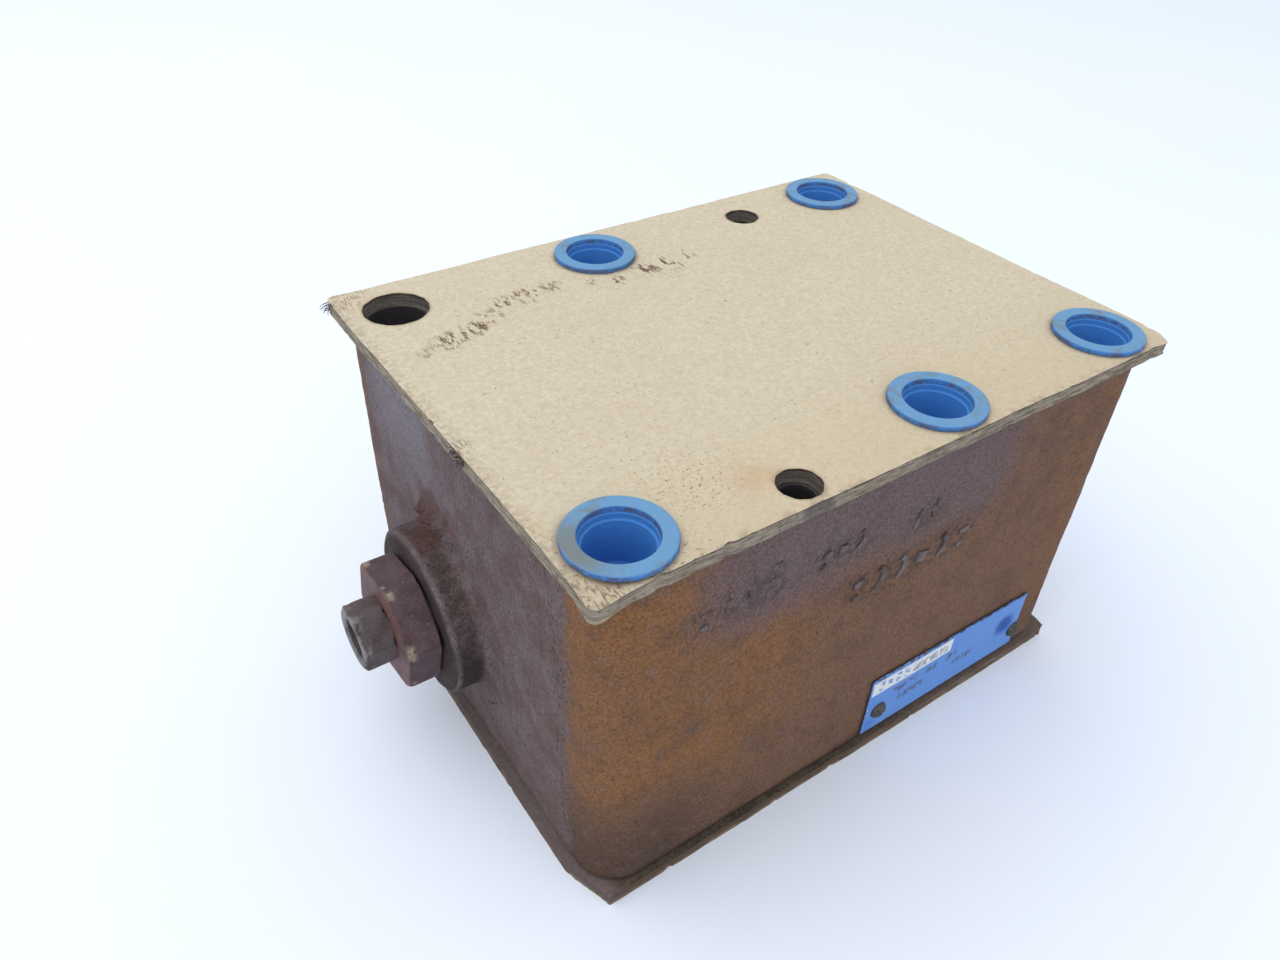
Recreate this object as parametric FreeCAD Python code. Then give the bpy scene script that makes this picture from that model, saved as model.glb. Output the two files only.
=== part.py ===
import FreeCAD, Part
import math
import os

# Stack-mounted hydraulic valve for the ISO 4401 size 08 interface, with shipping covers.
# Millimetres. +X runs along the body away from the adjuster, -Y is the nameplate side and +Z is up.
# The origin is on the plane that the part stands on, under the centre of the bolt rectangle.

Vector = FreeCAD.Vector
ALONG_X = Vector(1, 0, 0)
ALONG_Y = Vector(0, 1, 0)
ALONG_Z = Vector(0, 0, 1)

# ---- block and cover boards ----
BOARD_THICK = 3.2
BODY_HEIGHT = 90.2
BODY_LEFT, BODY_RIGHT = -74.1, 75.9
BODY_FRONT, BODY_REAR = -55.0, 56.5
BODY_FRONT_CORNER_R = 10.0
BODY_REAR_CORNER_R = 6.0
BODY_LOWER_EDGE_R = 1.5
BODY_UPPER_EDGE_R = 0.8
BODY_BOTTOM = BOARD_THICK
BODY_TOP = BODY_BOTTOM + BODY_HEIGHT
TOP_BOARD_X = (-77.3, 78.9)
TOP_BOARD_Y = (-56.95, 58.85)
TOP_BOARD_CORNER_R = 2.0
BOTTOM_BOARD_X = (-76.4, 77.4)
BOTTOM_BOARD_Y = (-56.5, 58.0)
BOTTOM_BOARD_CHIP = (4.5, 13.0)
BOARD_BOLT_HOLE_R = 7.6
BOARD_PIN_HOLE_R = 4.55

# ---- ISO 4401-08 interface, seen from above ----
BOLT_PITCH_X = 130.2
BOLT_PITCH_Y = 92.1
MIDDLE_BOLT_X = 11.9
BOLT_HOLE_R = 6.75
BOLT_ENTRY_R = 6.95
BOLT_ENTRY_DEPTH = 13.0
PORT_P = (-11.9, -28.55)
PORT_T = (35.7, -28.55)
PORT_A = (11.9, 28.55)
PORT_B = (-35.7, 28.55)
MAIN_PORTS = (PORT_P, PORT_T, PORT_A, PORT_B)
PORT_MOUTH_R = 11.7
PORT_MOUTH_DEPTH = 12.0
STRAIGHT_PASSAGE_R = 10.0
BYPASS_PASSAGE_R = 7.0
BYPASS_Y = 33.0
BYPASS_LOWER_MOUTH = 14.0
BYPASS_UPPER_MOUTH = 33.0
PORT_X = (47.6, 26.95)
PORT_Y = (-47.6, -27.05)
PORT_L = (59.5, -0.05)
PILOT_PORTS = (PORT_X, PORT_Y, PORT_L)
PILOT_MOUTH_R = 5.6
PILOT_MOUTH_DEPTH = 8.0
PILOT_PASSAGE_R = 4.0
PIN_PLACES = ((-29.4, -50.85), (35.7, 46.05))
PIN_HOLE_R = 3.25
PIN_HOLE_DEPTH = 8.0
PIN_HOLE_CHAMFER = 0.4
PIN_R = 3.0
PIN_LENGTH = 10.6
PIN_STAND_OUT = 2.8

# ---- main bore, along X from the boss ----
BORE_Y = 12.0
BORE_Z = 37.4
BORE_R = 9.0
BORE_END = 52.5
CHAMBER_R = 10.5
PRESSURE_CHAMBER = (-20.0, 14.0)
TANK_CHAMBER = (18.0, 42.5)
PRESSURE_CROSS_R = 7.0
TANK_CROSS_R = 6.5
CROSS_PASSAGE_END_Y = 6.0
DRAIN_DRILL_R = 1.5
DRAIN_X = -58.0

# ---- boss, bonnet plug and adjuster ----
BOSS_R = 20.6
BOSS_FACE = -81.9
BOSS_ROOT_FILLET = 2.5
BOSS_EDGE_FILLET = 1.2
THREAD_R = 11.0
THREAD_END = -64.0
PLUG_HEX = (-90.4, -82.7)
PLUG_HEX_FLATS = 27.0
PLUG_NECK_R = 12.0
PLUG_THREAD_R = 10.95
PLUG_NOSE_R = 8.9
PLUG_NOSE = (-66.0, -50.0)
PLUG_SEAL_X = -62.3
PLUG_SEAL_GROOVE_R = 7.2
PLUG_DRAIN_GROOVE_R = 8.2
PLUG_DRAIN_HOLE_R = 1.2
SCREW_BORE_R = 4.75
SCREW_BORE_END = -79.0
GUIDE_BORE_R = 6.0
HEX_TURN_DEG = -12.6
NUT_OUTER_FACE = -97.9
NUT_FLATS = 14.0
NUT_BORE_R = 4.76
HEX_CHAMFER = 1.1
SCREW_R = 4.70
SCREW_OUTER_END = -94.9
SCREW_TIP = -75.0
SCREW_DOG_R = 3.5
SCREW_DOG_LENGTH = 2.0
SOCKET_FLATS = 4.76
SOCKET_DEPTH = 5.0

# ---- spring guide, pilot stage ----
GUIDE_R = 5.95
GUIDE_HEAD_END = -68.0
GUIDE_STEM_R = 2.6
GUIDE_STEM_END = -63.5
GUIDE_SEAL_X = -71.8
GUIDE_SEAL_GROOVE_R = 4.3
SEAL_GROOVE_WIDTH = 2.4
POPPET_TAIL_R = 2.4
POPPET_TAIL_END = -58.0
POPPET_FLANGE = (-55.5, -54.0)
POPPET_FLANGE_R = 4.4
POPPET_NECK_R = 3.0
POPPET_CONE = (-53.0, -48.5)
POPPET_TIP_R = 0.4
SEAT = (-50.0, -44.0)
SEAT_R = 8.95
SEAT_HOLE_R = 1.3
SEAT_SEAL_X = -47.2
PILOT_SPRING_MEAN_R = 3.6
PILOT_SPRING_WIRE_R = 0.5
PILOT_SPRING_TURNS = 7

# ---- main spool ----
SPOOL_R = 8.95
SPOOL_WAIST_R = 5.5
SPOOL_ENDS = (-36.0, 50.0)
SPOOL_WAISTS = ((-22.0, 6.0), (18.8, 40.0))
SPOOL_GROOVES = (-33.0, -30.0, -27.0, 45.5, 48.0)
SPOOL_GROOVE_DEPTH = 0.4
SPOOL_GROOVE_WIDTH = 0.8
SPRING_POCKET_R = 6.2
SPRING_POCKET_END = -24.0
ORIFICE = (-23.5, -19.5)
ORIFICE_THREAD_R = 2.0
ORIFICE_R = 0.5
SPOOL_DRILL_R = 1.6
SPOOL_CROSS_DRILL_X = -14.0
MAIN_SPRING_MEAN_R = 5.0
MAIN_SPRING_WIRE_R = 0.8
MAIN_SPRING_TURNS = 6

# ---- push-in caps ----
CAP_FLANGE_R = 10.2
CAP_FLANGE_THICK = 1.3
CAP_SHOULDER_R = 7.5
CAP_BARREL_R = 6.85
CAP_BARREL_DEPTH = 9.0
CAP_MOUTH_R = 7.2
CAP_LEDGE_OUTER_R = 6.9
CAP_LEDGE_DEPTH = 2.5
CAP_CUP_R = 6.1
CAP_FLOOR_THICK = 1.4
CAP_EDGE_CHAMFER = 0.35
LOWER_CAP_FLANGE_R = 8.8
FLANGE_RECESS_R = 8.9

# ---- seals and nameplate ----
MAIN_RING_SEAT = (14.3, 2.5)
MAIN_RING = (13.05, 1.2)
PILOT_RING_SEAT = (7.9, 2.0)
PILOT_RING = (6.8, 0.95)
BORE_RING = (8.1, 0.86)
GUIDE_RING = (5.12, 0.8)
PLATE_X = (3.0, 60.2)
PLATE_Z = (4.9, 25.0)
PLATE_THICK = 0.8
PLATE_SCREWS = ((7.2, 12.2), (58.8, 11.4))
PLATE_SCREW_SHANK_R = 1.2
PLATE_SCREW_SHANK_DEPTH = 2.4
PLATE_SCREW_HEAD_R = 2.4
PLATE_SCREW_HEAD_HEIGHT = 1.4

# Bolt places in the front and rear rows. The rear row's middle bolt is nearer the adjuster.
FRONT_BOLTS = {
    "front_left": (-BOLT_PITCH_X / 2, -BOLT_PITCH_Y / 2),
    "front_middle": (MIDDLE_BOLT_X, -BOLT_PITCH_Y / 2),
    "front_right": (BOLT_PITCH_X / 2, -BOLT_PITCH_Y / 2),
}
REAR_BOLTS = {
    "rear_left": (-BOLT_PITCH_X / 2, BOLT_PITCH_Y / 2),
    "rear_middle": (-MIDDLE_BOLT_X, BOLT_PITCH_Y / 2),
    "rear_right": (BOLT_PITCH_X / 2, BOLT_PITCH_Y / 2),
}
BOLTS = {**FRONT_BOLTS, **REAR_BOLTS}
UNCAPPED_ABOVE = ("rear_left",)
UNCAPPED_BELOW = ("rear_left", "front_left")


def upright(radius, low, high, place):
    """Vertical cylinder between two heights at an (x, y) place."""
    return Part.makeCylinder(radius, high - low, Vector(place[0], place[1], low), ALONG_Z)


def on_bore(radius, start, end):
    """Cylinder on the main bore's axis between two X positions."""
    return Part.makeCylinder(radius, end - start, Vector(start, BORE_Y, BORE_Z), ALONG_X)


def cone_on_bore(start_radius, end_radius, start, end):
    return Part.makeCone(start_radius, end_radius, end - start, Vector(start, BORE_Y, BORE_Z), ALONG_X)


def ring_on_bore(ring, x):
    """O-ring about the bore's axis; ring is its (mean radius, section radius)."""
    return Part.makeTorus(ring[0], ring[1], Vector(x, BORE_Y, BORE_Z), ALONG_X)


def groove_on_bore(outer, inner, centre, width):
    """Ring-shaped cutter for a groove about the bore's axis."""
    start, end = centre - width / 2, centre + width / 2
    return on_bore(outer + 1, start, end).cut(on_bore(inner, start - 1, end + 1))


def hexagon_on_bore(across_flats, start, end):
    """Hexagonal prism on the bore's axis, with one corner turned from +Y by HEX_TURN_DEG."""
    corner_radius = across_flats / math.sqrt(3)
    corners = []
    for side in range(7):
        angle = math.radians(HEX_TURN_DEG + 60 * side)
        corners.append(
            Vector(
                start,
                BORE_Y + corner_radius * math.cos(angle),
                BORE_Z + corner_radius * math.sin(angle),
            )
        )
    outline = Part.Face(Part.makePolygon(corners))
    return outline.extrude(Vector(end - start, 0, 0))


def chamfered_hexagon(across_flats, start, end, inner_too):
    """Hexagon whose corners are turned off at the outer end, and at the inner end if asked."""
    corner_radius = across_flats / math.sqrt(3)
    face_radius = across_flats / 2 - 0.2
    limit = cone_on_bore(face_radius, corner_radius + 0.1, start, start + HEX_CHAMFER)
    plain_end = end - HEX_CHAMFER if inner_too else end
    limit = limit.fuse(on_bore(corner_radius + 0.1, start + HEX_CHAMFER, plain_end))
    if inner_too:
        limit = limit.fuse(cone_on_bore(corner_radius + 0.1, face_radius, plain_end, end))
    return hexagon_on_bore(across_flats, start, end).common(limit).removeSplitter()


def coil_spring(mean_radius, wire_radius, start, end, turns):
    """Open coil about the bore's axis, its ends flush with start and end."""
    length = end - start - 2 * wire_radius
    helix = Part.makeHelix(length / turns, length, mean_radius)
    section = Part.Wire(
        Part.makeCircle(wire_radius, Vector(mean_radius, 0, 0), Vector(0, 1, 0))
    )
    coil = Part.Wire(helix).makePipeShell([section], True, True)
    coil.rotate(Vector(0, 0, 0), ALONG_Y, 90)
    coil.translate(Vector(start + wire_radius, BORE_Y, BORE_Z))
    return coil


def rounded_block(x_range, y_range, z_range, front_radius, rear_radius):
    """A block with its upright edges rounded, the rear pair apart from the front pair."""
    block = Part.makeBox(
        x_range[1] - x_range[0],
        y_range[1] - y_range[0],
        z_range[1] - z_range[0],
        Vector(x_range[0], y_range[0], z_range[0]),
    )
    for y, radius in ((y_range[0], front_radius), (y_range[1], rear_radius)):
        corners = [
            e
            for e in block.Edges
            if abs(e.tangentAt(e.FirstParameter).z) > 0.99
            and max(abs(e.BoundBox.YMin - y), abs(e.BoundBox.YMax - y)) < 1e-4
        ]
        block = block.makeFillet(radius, corners)
    return block


def edges_at_height(shape, height):
    """Edges that lie wholly at one height."""
    return [
        e
        for e in shape.Edges
        if abs(e.BoundBox.ZMin - height) < 1e-4 and abs(e.BoundBox.ZMax - height) < 1e-4
    ]


# ---- the casting ----


def casting_blank():
    """Rounded block with the round boss on its left side."""
    block = rounded_block(
        (BODY_LEFT, BODY_RIGHT),
        (BODY_FRONT, BODY_REAR),
        (BODY_BOTTOM, BODY_TOP),
        BODY_FRONT_CORNER_R,
        BODY_REAR_CORNER_R,
    )
    block = block.makeFillet(BODY_LOWER_EDGE_R, edges_at_height(block, BODY_BOTTOM))
    block = block.makeFillet(BODY_UPPER_EDGE_R, edges_at_height(block, BODY_TOP))
    boss = on_bore(BOSS_R, BOSS_FACE, BODY_LEFT + 5)
    rim = [e for e in boss.Edges if e.BoundBox.XMax < BOSS_FACE + 0.01]
    boss = boss.makeFillet(BOSS_EDGE_FILLET, rim)
    casting = block.fuse(boss)
    root = [
        e
        for e in casting.Edges
        if abs(e.BoundBox.XMin - BODY_LEFT) < 1e-4
        and abs(e.BoundBox.XMax - BODY_LEFT) < 1e-4
        and abs(e.BoundBox.YLength - 2 * BOSS_R) < 1e-3
    ]
    return casting.makeFillet(BOSS_ROOT_FILLET, root)


def bolt_hole_cutters():
    """Through hole with a slightly wider entry at each face, at all six places."""
    cutters = []
    for place in BOLTS.values():
        cutters.append(upright(BOLT_HOLE_R, BODY_BOTTOM, BODY_TOP, place))
        cutters.append(upright(BOLT_ENTRY_R, BODY_BOTTOM - 1, BODY_BOTTOM + BOLT_ENTRY_DEPTH, place))
        cutters.append(upright(BOLT_ENTRY_R, BODY_TOP - BOLT_ENTRY_DEPTH, BODY_TOP + 1, place))
    return cutters


def port_cutters():
    """P and T run straight through. A and B step back past the bore."""
    cutters = []
    for place in (PORT_P, PORT_T):
        cutters.append(upright(STRAIGHT_PASSAGE_R, BODY_BOTTOM, BODY_TOP, place))
        cutters.append(upright(PORT_MOUTH_R, BODY_BOTTOM - 1, BODY_BOTTOM + PORT_MOUTH_DEPTH, place))
        cutters.append(upright(PORT_MOUTH_R, BODY_TOP - PORT_MOUTH_DEPTH, BODY_TOP + 1, place))
    for place in (PORT_A, PORT_B):
        bypass = (place[0], BYPASS_Y)
        cutters.append(upright(BYPASS_PASSAGE_R, BODY_BOTTOM + 1, BODY_TOP - 1, bypass))
        cutters.append(
            upright(PORT_MOUTH_R, BODY_BOTTOM - 1, BODY_BOTTOM + BYPASS_LOWER_MOUTH, place)
        )
        cutters.append(upright(PORT_MOUTH_R, BODY_TOP - BYPASS_UPPER_MOUTH, BODY_TOP + 1, place))
    for place in PILOT_PORTS:
        cutters.append(upright(PILOT_PASSAGE_R, BODY_BOTTOM, BODY_TOP, place))
        cutters.append(
            upright(PILOT_MOUTH_R, BODY_BOTTOM - 1, BODY_BOTTOM + PILOT_MOUTH_DEPTH, place)
        )
        cutters.append(upright(PILOT_MOUTH_R, BODY_TOP - PILOT_MOUTH_DEPTH, BODY_TOP + 1, place))
    return cutters


def ring_seat_cutters():
    """Shallow counterbores for the O-rings, in the lower face only."""
    cutters = []
    for places, (radius, depth) in ((MAIN_PORTS, MAIN_RING_SEAT), (PILOT_PORTS, PILOT_RING_SEAT)):
        for place in places:
            cutters.append(upright(radius, BODY_BOTTOM - 1, BODY_BOTTOM + depth, place))
    return cutters


def pin_hole_cutters():
    """Open pin holes in the upper face, and holes for the fitted pins in the lower face."""
    cutters = []
    for place in PIN_PLACES:
        cutters.append(upright(PIN_HOLE_R, BODY_TOP - PIN_HOLE_DEPTH, BODY_TOP + 1, place))
        mouth = Part.makeCone(
            PIN_HOLE_R,
            PIN_HOLE_R + 2 * PIN_HOLE_CHAMFER,
            2 * PIN_HOLE_CHAMFER,
            Vector(place[0], place[1], BODY_TOP - PIN_HOLE_CHAMFER),
            ALONG_Z,
        )
        cutters.append(mouth)
        pin_top = BODY_BOTTOM - PIN_STAND_OUT + PIN_LENGTH
        cutters.append(upright(PIN_R, BODY_BOTTOM - 1, pin_top, place))
    return cutters


def bore_cutters():
    """Main bore with its two chambers, the cross passages and the pilot drain."""
    cutters = [
        on_bore(THREAD_R, BOSS_FACE - 1, THREAD_END),
        on_bore(BORE_R, THREAD_END - 1, BORE_END),
        on_bore(CHAMBER_R, *PRESSURE_CHAMBER),
        on_bore(CHAMBER_R, *TANK_CHAMBER),
    ]
    for port, radius in ((PORT_P, PRESSURE_CROSS_R), (PORT_T, TANK_CROSS_R)):
        start = Vector(port[0], port[1], BORE_Z)
        cutters.append(Part.makeCylinder(radius, CROSS_PASSAGE_END_Y - port[1], start, ALONG_Y))
    drain_start = Vector(PORT_Y[0], PORT_Y[1], BORE_Z)
    drain_run = Vector(DRAIN_X, BORE_Y, BORE_Z) - drain_start
    drain_length = drain_run.Length - BORE_R / 2
    cutters.append(Part.makeCylinder(DRAIN_DRILL_R, drain_length, drain_start, drain_run))
    return cutters


def plate_screw_cutters():
    cutters = []
    for x, z in PLATE_SCREWS:
        start = Vector(x, BODY_FRONT - 1, z)
        cutters.append(
            Part.makeCylinder(PLATE_SCREW_SHANK_R, PLATE_SCREW_SHANK_DEPTH + 1, start, ALONG_Y)
        )
    return cutters


def valve_body():
    casting = casting_blank()
    groups = (
        bolt_hole_cutters,
        port_cutters,
        ring_seat_cutters,
        pin_hole_cutters,
        bore_cutters,
        plate_screw_cutters,
    )
    for group in groups:
        casting = casting.cut(group())
    return casting.removeSplitter()


# ---- covers and caps ----


def board_hole_cutters(low, high):
    cutters = [upright(BOARD_BOLT_HOLE_R, low - 1, high + 1, place) for place in BOLTS.values()]
    cutters += [upright(BOARD_PIN_HOLE_R, low - 1, high + 1, place) for place in PIN_PLACES]
    return cutters


def top_cover_board():
    low, high = BODY_TOP, BODY_TOP + BOARD_THICK
    board = rounded_block(
        TOP_BOARD_X, TOP_BOARD_Y, (low, high), TOP_BOARD_CORNER_R, TOP_BOARD_CORNER_R
    )
    return board.cut(board_hole_cutters(low, high))


def bottom_cover_board():
    """Lower board with a chipped front left corner, recessed for the caps' flanges."""
    left, right = BOTTOM_BOARD_X
    front, rear = BOTTOM_BOARD_Y
    chip_x, chip_y = BOTTOM_BOARD_CHIP
    corners = [
        Vector(left, front + chip_y, 0),
        Vector(left + chip_x, front, 0),
        Vector(right, front, 0),
        Vector(right, rear, 0),
        Vector(left, rear, 0),
        Vector(left, front + chip_y, 0),
    ]
    board = Part.Face(Part.makePolygon(corners)).extrude(Vector(0, 0, BOARD_THICK))
    cutters = board_hole_cutters(0, BOARD_THICK)
    for name, place in BOLTS.items():
        if name not in UNCAPPED_BELOW:
            cutters.append(upright(FLANGE_RECESS_R, -1, CAP_FLANGE_THICK, place))
    return board.cut(cutters)


def cap_outline(flange_r, shoulder):
    """Half section of a cap in (radius, height), with height 0 on the face under its flange.

    The shoulder is the length that fits the board's hole, from the flange to the metal.
    """
    top = CAP_FLANGE_THICK
    ledge = top - CAP_LEDGE_DEPTH
    floor_low = -shoulder - CAP_BARREL_DEPTH
    floor_high = floor_low + CAP_FLOOR_THICK
    return [
        (0, floor_low),
        (CAP_BARREL_R - CAP_EDGE_CHAMFER, floor_low),
        (CAP_BARREL_R, floor_low + CAP_EDGE_CHAMFER),
        (CAP_BARREL_R, -shoulder),
        (CAP_SHOULDER_R, -shoulder),
        (CAP_SHOULDER_R, 0),
        (flange_r, 0),
        (flange_r, top - CAP_EDGE_CHAMFER),
        (flange_r - CAP_EDGE_CHAMFER, top),
        (CAP_MOUTH_R, top),
        (CAP_LEDGE_OUTER_R, ledge),
        (CAP_CUP_R, ledge),
        (CAP_CUP_R - 0.2, floor_high),
        (0, floor_high),
    ]


def turned_cap(outline, place, height):
    section = Part.Face(Part.makePolygon(outline + outline[:1]))
    cap = section.revolve(Vector(0, 0, 0), ALONG_Z, 360)
    cap.translate(Vector(place[0], place[1], height))
    return cap


def push_in_cap(place, seat_height):
    """Upright cap, its flange resting on the board face at seat_height."""
    outline = [Vector(r, 0, h) for r, h in cap_outline(CAP_FLANGE_R, BOARD_THICK)]
    return turned_cap(outline, place, seat_height)


def bottom_cover_caps():
    """Four inverted caps, their flanges flush with the lower board's underside."""
    section = cap_outline(LOWER_CAP_FLANGE_R, BOARD_THICK - CAP_FLANGE_THICK)
    outline = [Vector(r, 0, -h) for r, h in section]
    places = [place for name, place in BOLTS.items() if name not in UNCAPPED_BELOW]
    return Part.makeCompound([turned_cap(outline, place, CAP_FLANGE_THICK) for place in places])


# ---- nameplate, pins and port seals ----


def nameplate():
    plate = Part.makeBox(
        PLATE_X[1] - PLATE_X[0],
        PLATE_THICK,
        PLATE_Z[1] - PLATE_Z[0],
        Vector(PLATE_X[0], BODY_FRONT - PLATE_THICK, PLATE_Z[0]),
    )
    return plate.cut(plate_screw_cutters())


def nameplate_drive_screws():
    """Round-headed drive screws; each head is a shallow dome on the plate."""
    dome_height = PLATE_SCREW_HEAD_HEIGHT
    dome_radius = (PLATE_SCREW_HEAD_R**2 + dome_height**2) / (2 * dome_height)
    plate_face = BODY_FRONT - PLATE_THICK
    screws = []
    for x, z in PLATE_SCREWS:
        centre = Vector(x, plate_face - dome_height + dome_radius, z)
        head_top = Vector(x, plate_face - dome_height, z)
        slab = Part.makeCylinder(PLATE_SCREW_HEAD_R + 1, dome_height, head_top, ALONG_Y)
        head = Part.makeSphere(dome_radius, centre).common(slab)
        shank_start = Vector(x, plate_face - 0.2, z)
        shank_length = PLATE_THICK + PLATE_SCREW_SHANK_DEPTH - 0.3
        shank = Part.makeCylinder(PLATE_SCREW_SHANK_R, shank_length, shank_start, ALONG_Y)
        screws.append(head.fuse(shank).removeSplitter())
    return Part.makeCompound(screws)


def locating_pins():
    low = BODY_BOTTOM - PIN_STAND_OUT
    return Part.makeCompound([upright(PIN_R, low, low + PIN_LENGTH, place) for place in PIN_PLACES])


def port_rings(places, seat, ring):
    """O-rings against the top of their counterbores in the lower face."""
    height = BODY_BOTTOM + seat[1] - ring[1]
    rings = [Part.makeTorus(ring[0], ring[1], Vector(x, y, height), ALONG_Z) for x, y in places]
    return Part.makeCompound(rings)


# ---- bonnet plug, lock nut and adjusting screw ----


def bonnet_plug():
    """Hollow hexagon plug: neck, thread and a nose that reaches the pilot seat."""
    solid = chamfered_hexagon(PLUG_HEX_FLATS, *PLUG_HEX, inner_too=False)
    solid = solid.fuse(on_bore(PLUG_NECK_R, PLUG_HEX[1], BOSS_FACE))
    solid = solid.fuse(on_bore(PLUG_THREAD_R, BOSS_FACE, PLUG_NOSE[0]))
    solid = solid.fuse(on_bore(PLUG_NOSE_R, *PLUG_NOSE))
    cutters = [
        on_bore(SCREW_BORE_R, PLUG_HEX[0] - 1, SCREW_BORE_END),
        on_bore(GUIDE_BORE_R, SCREW_BORE_END, PLUG_NOSE[1] + 1),
        groove_on_bore(PLUG_NOSE_R, PLUG_SEAL_GROOVE_R, PLUG_SEAL_X, SEAL_GROOVE_WIDTH),
        groove_on_bore(PLUG_NOSE_R, PLUG_DRAIN_GROOVE_R, DRAIN_X, 4 * PLUG_DRAIN_HOLE_R),
        Part.makeCylinder(
            PLUG_DRAIN_HOLE_R,
            2 * PLUG_NOSE_R + 2,
            Vector(DRAIN_X, BORE_Y, BORE_Z - PLUG_NOSE_R - 1),
            ALONG_Z,
        ),
    ]
    return solid.cut(cutters).removeSplitter()


def lock_nut():
    nut = chamfered_hexagon(NUT_FLATS, NUT_OUTER_FACE, PLUG_HEX[0], inner_too=True)
    return nut.cut(on_bore(NUT_BORE_R, NUT_OUTER_FACE - 1, PLUG_HEX[0] + 1))


def adjusting_screw():
    """Threaded screw with a hexagon socket in its outer end and a dog point inside."""
    dog_start = SCREW_TIP - SCREW_DOG_LENGTH
    screw = on_bore(SCREW_R, SCREW_OUTER_END, dog_start)
    screw = screw.fuse(on_bore(SCREW_DOG_R, dog_start, SCREW_TIP))
    rim = [e for e in screw.Edges if e.BoundBox.XMax < SCREW_OUTER_END + 0.01]
    screw = screw.makeChamfer(0.5, rim)
    socket = hexagon_on_bore(SOCKET_FLATS, SCREW_OUTER_END - 1, SCREW_OUTER_END + SOCKET_DEPTH)
    return screw.cut(socket)


# ---- spring guide and pilot stage ----


def spring_guide():
    guide = on_bore(GUIDE_R, SCREW_TIP, GUIDE_HEAD_END)
    guide = guide.fuse(on_bore(GUIDE_STEM_R, GUIDE_HEAD_END, GUIDE_STEM_END))
    groove = groove_on_bore(GUIDE_R, GUIDE_SEAL_GROOVE_R, GUIDE_SEAL_X, SEAL_GROOVE_WIDTH)
    return guide.cut(groove).removeSplitter()


def pilot_poppet():
    poppet = on_bore(POPPET_TAIL_R, POPPET_TAIL_END, POPPET_FLANGE[0])
    poppet = poppet.fuse(on_bore(POPPET_FLANGE_R, *POPPET_FLANGE))
    poppet = poppet.fuse(on_bore(POPPET_NECK_R, POPPET_FLANGE[1], POPPET_CONE[0]))
    poppet = poppet.fuse(cone_on_bore(POPPET_NECK_R, POPPET_TIP_R, *POPPET_CONE))
    return poppet.removeSplitter()


def pilot_seat():
    seat = on_bore(SEAT_R, *SEAT)
    groove = groove_on_bore(SEAT_R, PLUG_SEAL_GROOVE_R, SEAT_SEAL_X, SEAL_GROOVE_WIDTH)
    return seat.cut([on_bore(SEAT_HOLE_R, SEAT[0] - 1, SEAT[1] + 1), groove])


# ---- main spool ----


def main_spool():
    """Three lands on a waist, a spring pocket at the left and a drilling to the right end."""
    spool = on_bore(SPOOL_R, *SPOOL_ENDS)
    cutters = [
        groove_on_bore(SPOOL_R, SPOOL_WAIST_R, (start + end) / 2, end - start)
        for start, end in SPOOL_WAISTS
    ]
    for x in SPOOL_GROOVES:
        cutters.append(
            groove_on_bore(SPOOL_R, SPOOL_R - SPOOL_GROOVE_DEPTH, x, SPOOL_GROOVE_WIDTH)
        )
    cutters.append(on_bore(SPRING_POCKET_R, SPOOL_ENDS[0] - 1, SPRING_POCKET_END))
    cutters.append(on_bore(ORIFICE_THREAD_R, SPRING_POCKET_END - 1, ORIFICE[1]))
    cutters.append(on_bore(SPOOL_DRILL_R, ORIFICE[1] - 1, SPOOL_ENDS[1] + 1))
    cross_start = Vector(SPOOL_CROSS_DRILL_X, BORE_Y, BORE_Z - SPOOL_WAIST_R - 1)
    cutters.append(
        Part.makeCylinder(SPOOL_DRILL_R, 2 * SPOOL_WAIST_R + 2, cross_start, ALONG_Z)
    )
    return spool.cut(cutters).removeSplitter()


def damping_orifice():
    plug = on_bore(ORIFICE_THREAD_R, *ORIFICE)
    return plug.cut(on_bore(ORIFICE_R, ORIFICE[0] - 1, ORIFICE[1] + 1))


def all_nodes():
    """Every node's name and shape."""
    nodes = {
        "valve_body": valve_body(),
        "top_cover_board": top_cover_board(),
        "bottom_cover_board": bottom_cover_board(),
        "bottom_cover_caps": bottom_cover_caps(),
        "nameplate": nameplate(),
        "nameplate_drive_screws": nameplate_drive_screws(),
        "locating_pins": locating_pins(),
        "main_port_o_rings": port_rings(MAIN_PORTS, MAIN_RING_SEAT, MAIN_RING),
        "pilot_port_o_rings": port_rings(PILOT_PORTS, PILOT_RING_SEAT, PILOT_RING),
        "bonnet_plug": bonnet_plug(),
        "bonnet_o_ring": ring_on_bore(BORE_RING, PLUG_SEAL_X),
        "lock_nut": lock_nut(),
        "adjusting_screw": adjusting_screw(),
        "spring_guide": spring_guide(),
        "spring_guide_o_ring": ring_on_bore(GUIDE_RING, GUIDE_SEAL_X),
        "pilot_spring": coil_spring(
            PILOT_SPRING_MEAN_R,
            PILOT_SPRING_WIRE_R,
            GUIDE_HEAD_END,
            POPPET_FLANGE[0],
            PILOT_SPRING_TURNS,
        ),
        "pilot_poppet": pilot_poppet(),
        "pilot_seat": pilot_seat(),
        "pilot_seat_o_ring": ring_on_bore(BORE_RING, SEAT_SEAL_X),
        "main_spring": coil_spring(
            MAIN_SPRING_MEAN_R,
            MAIN_SPRING_WIRE_R,
            SEAT[1],
            SPRING_POCKET_END,
            MAIN_SPRING_TURNS,
        ),
        "main_spool": main_spool(),
        "damping_orifice": damping_orifice(),
    }
    for name, place in BOLTS.items():
        if name not in UNCAPPED_ABOVE:
            nodes["top_cap_" + name] = push_in_cap(place, BODY_TOP + BOARD_THICK)
    return nodes


def main():
    os.makedirs("parts", exist_ok=True)
    for name, shape in all_nodes().items():
        print(name, len(shape.Solids), round(shape.Volume, 1), shape.isValid())
        shape.exportStep("parts/" + name + ".step")


main()
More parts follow.
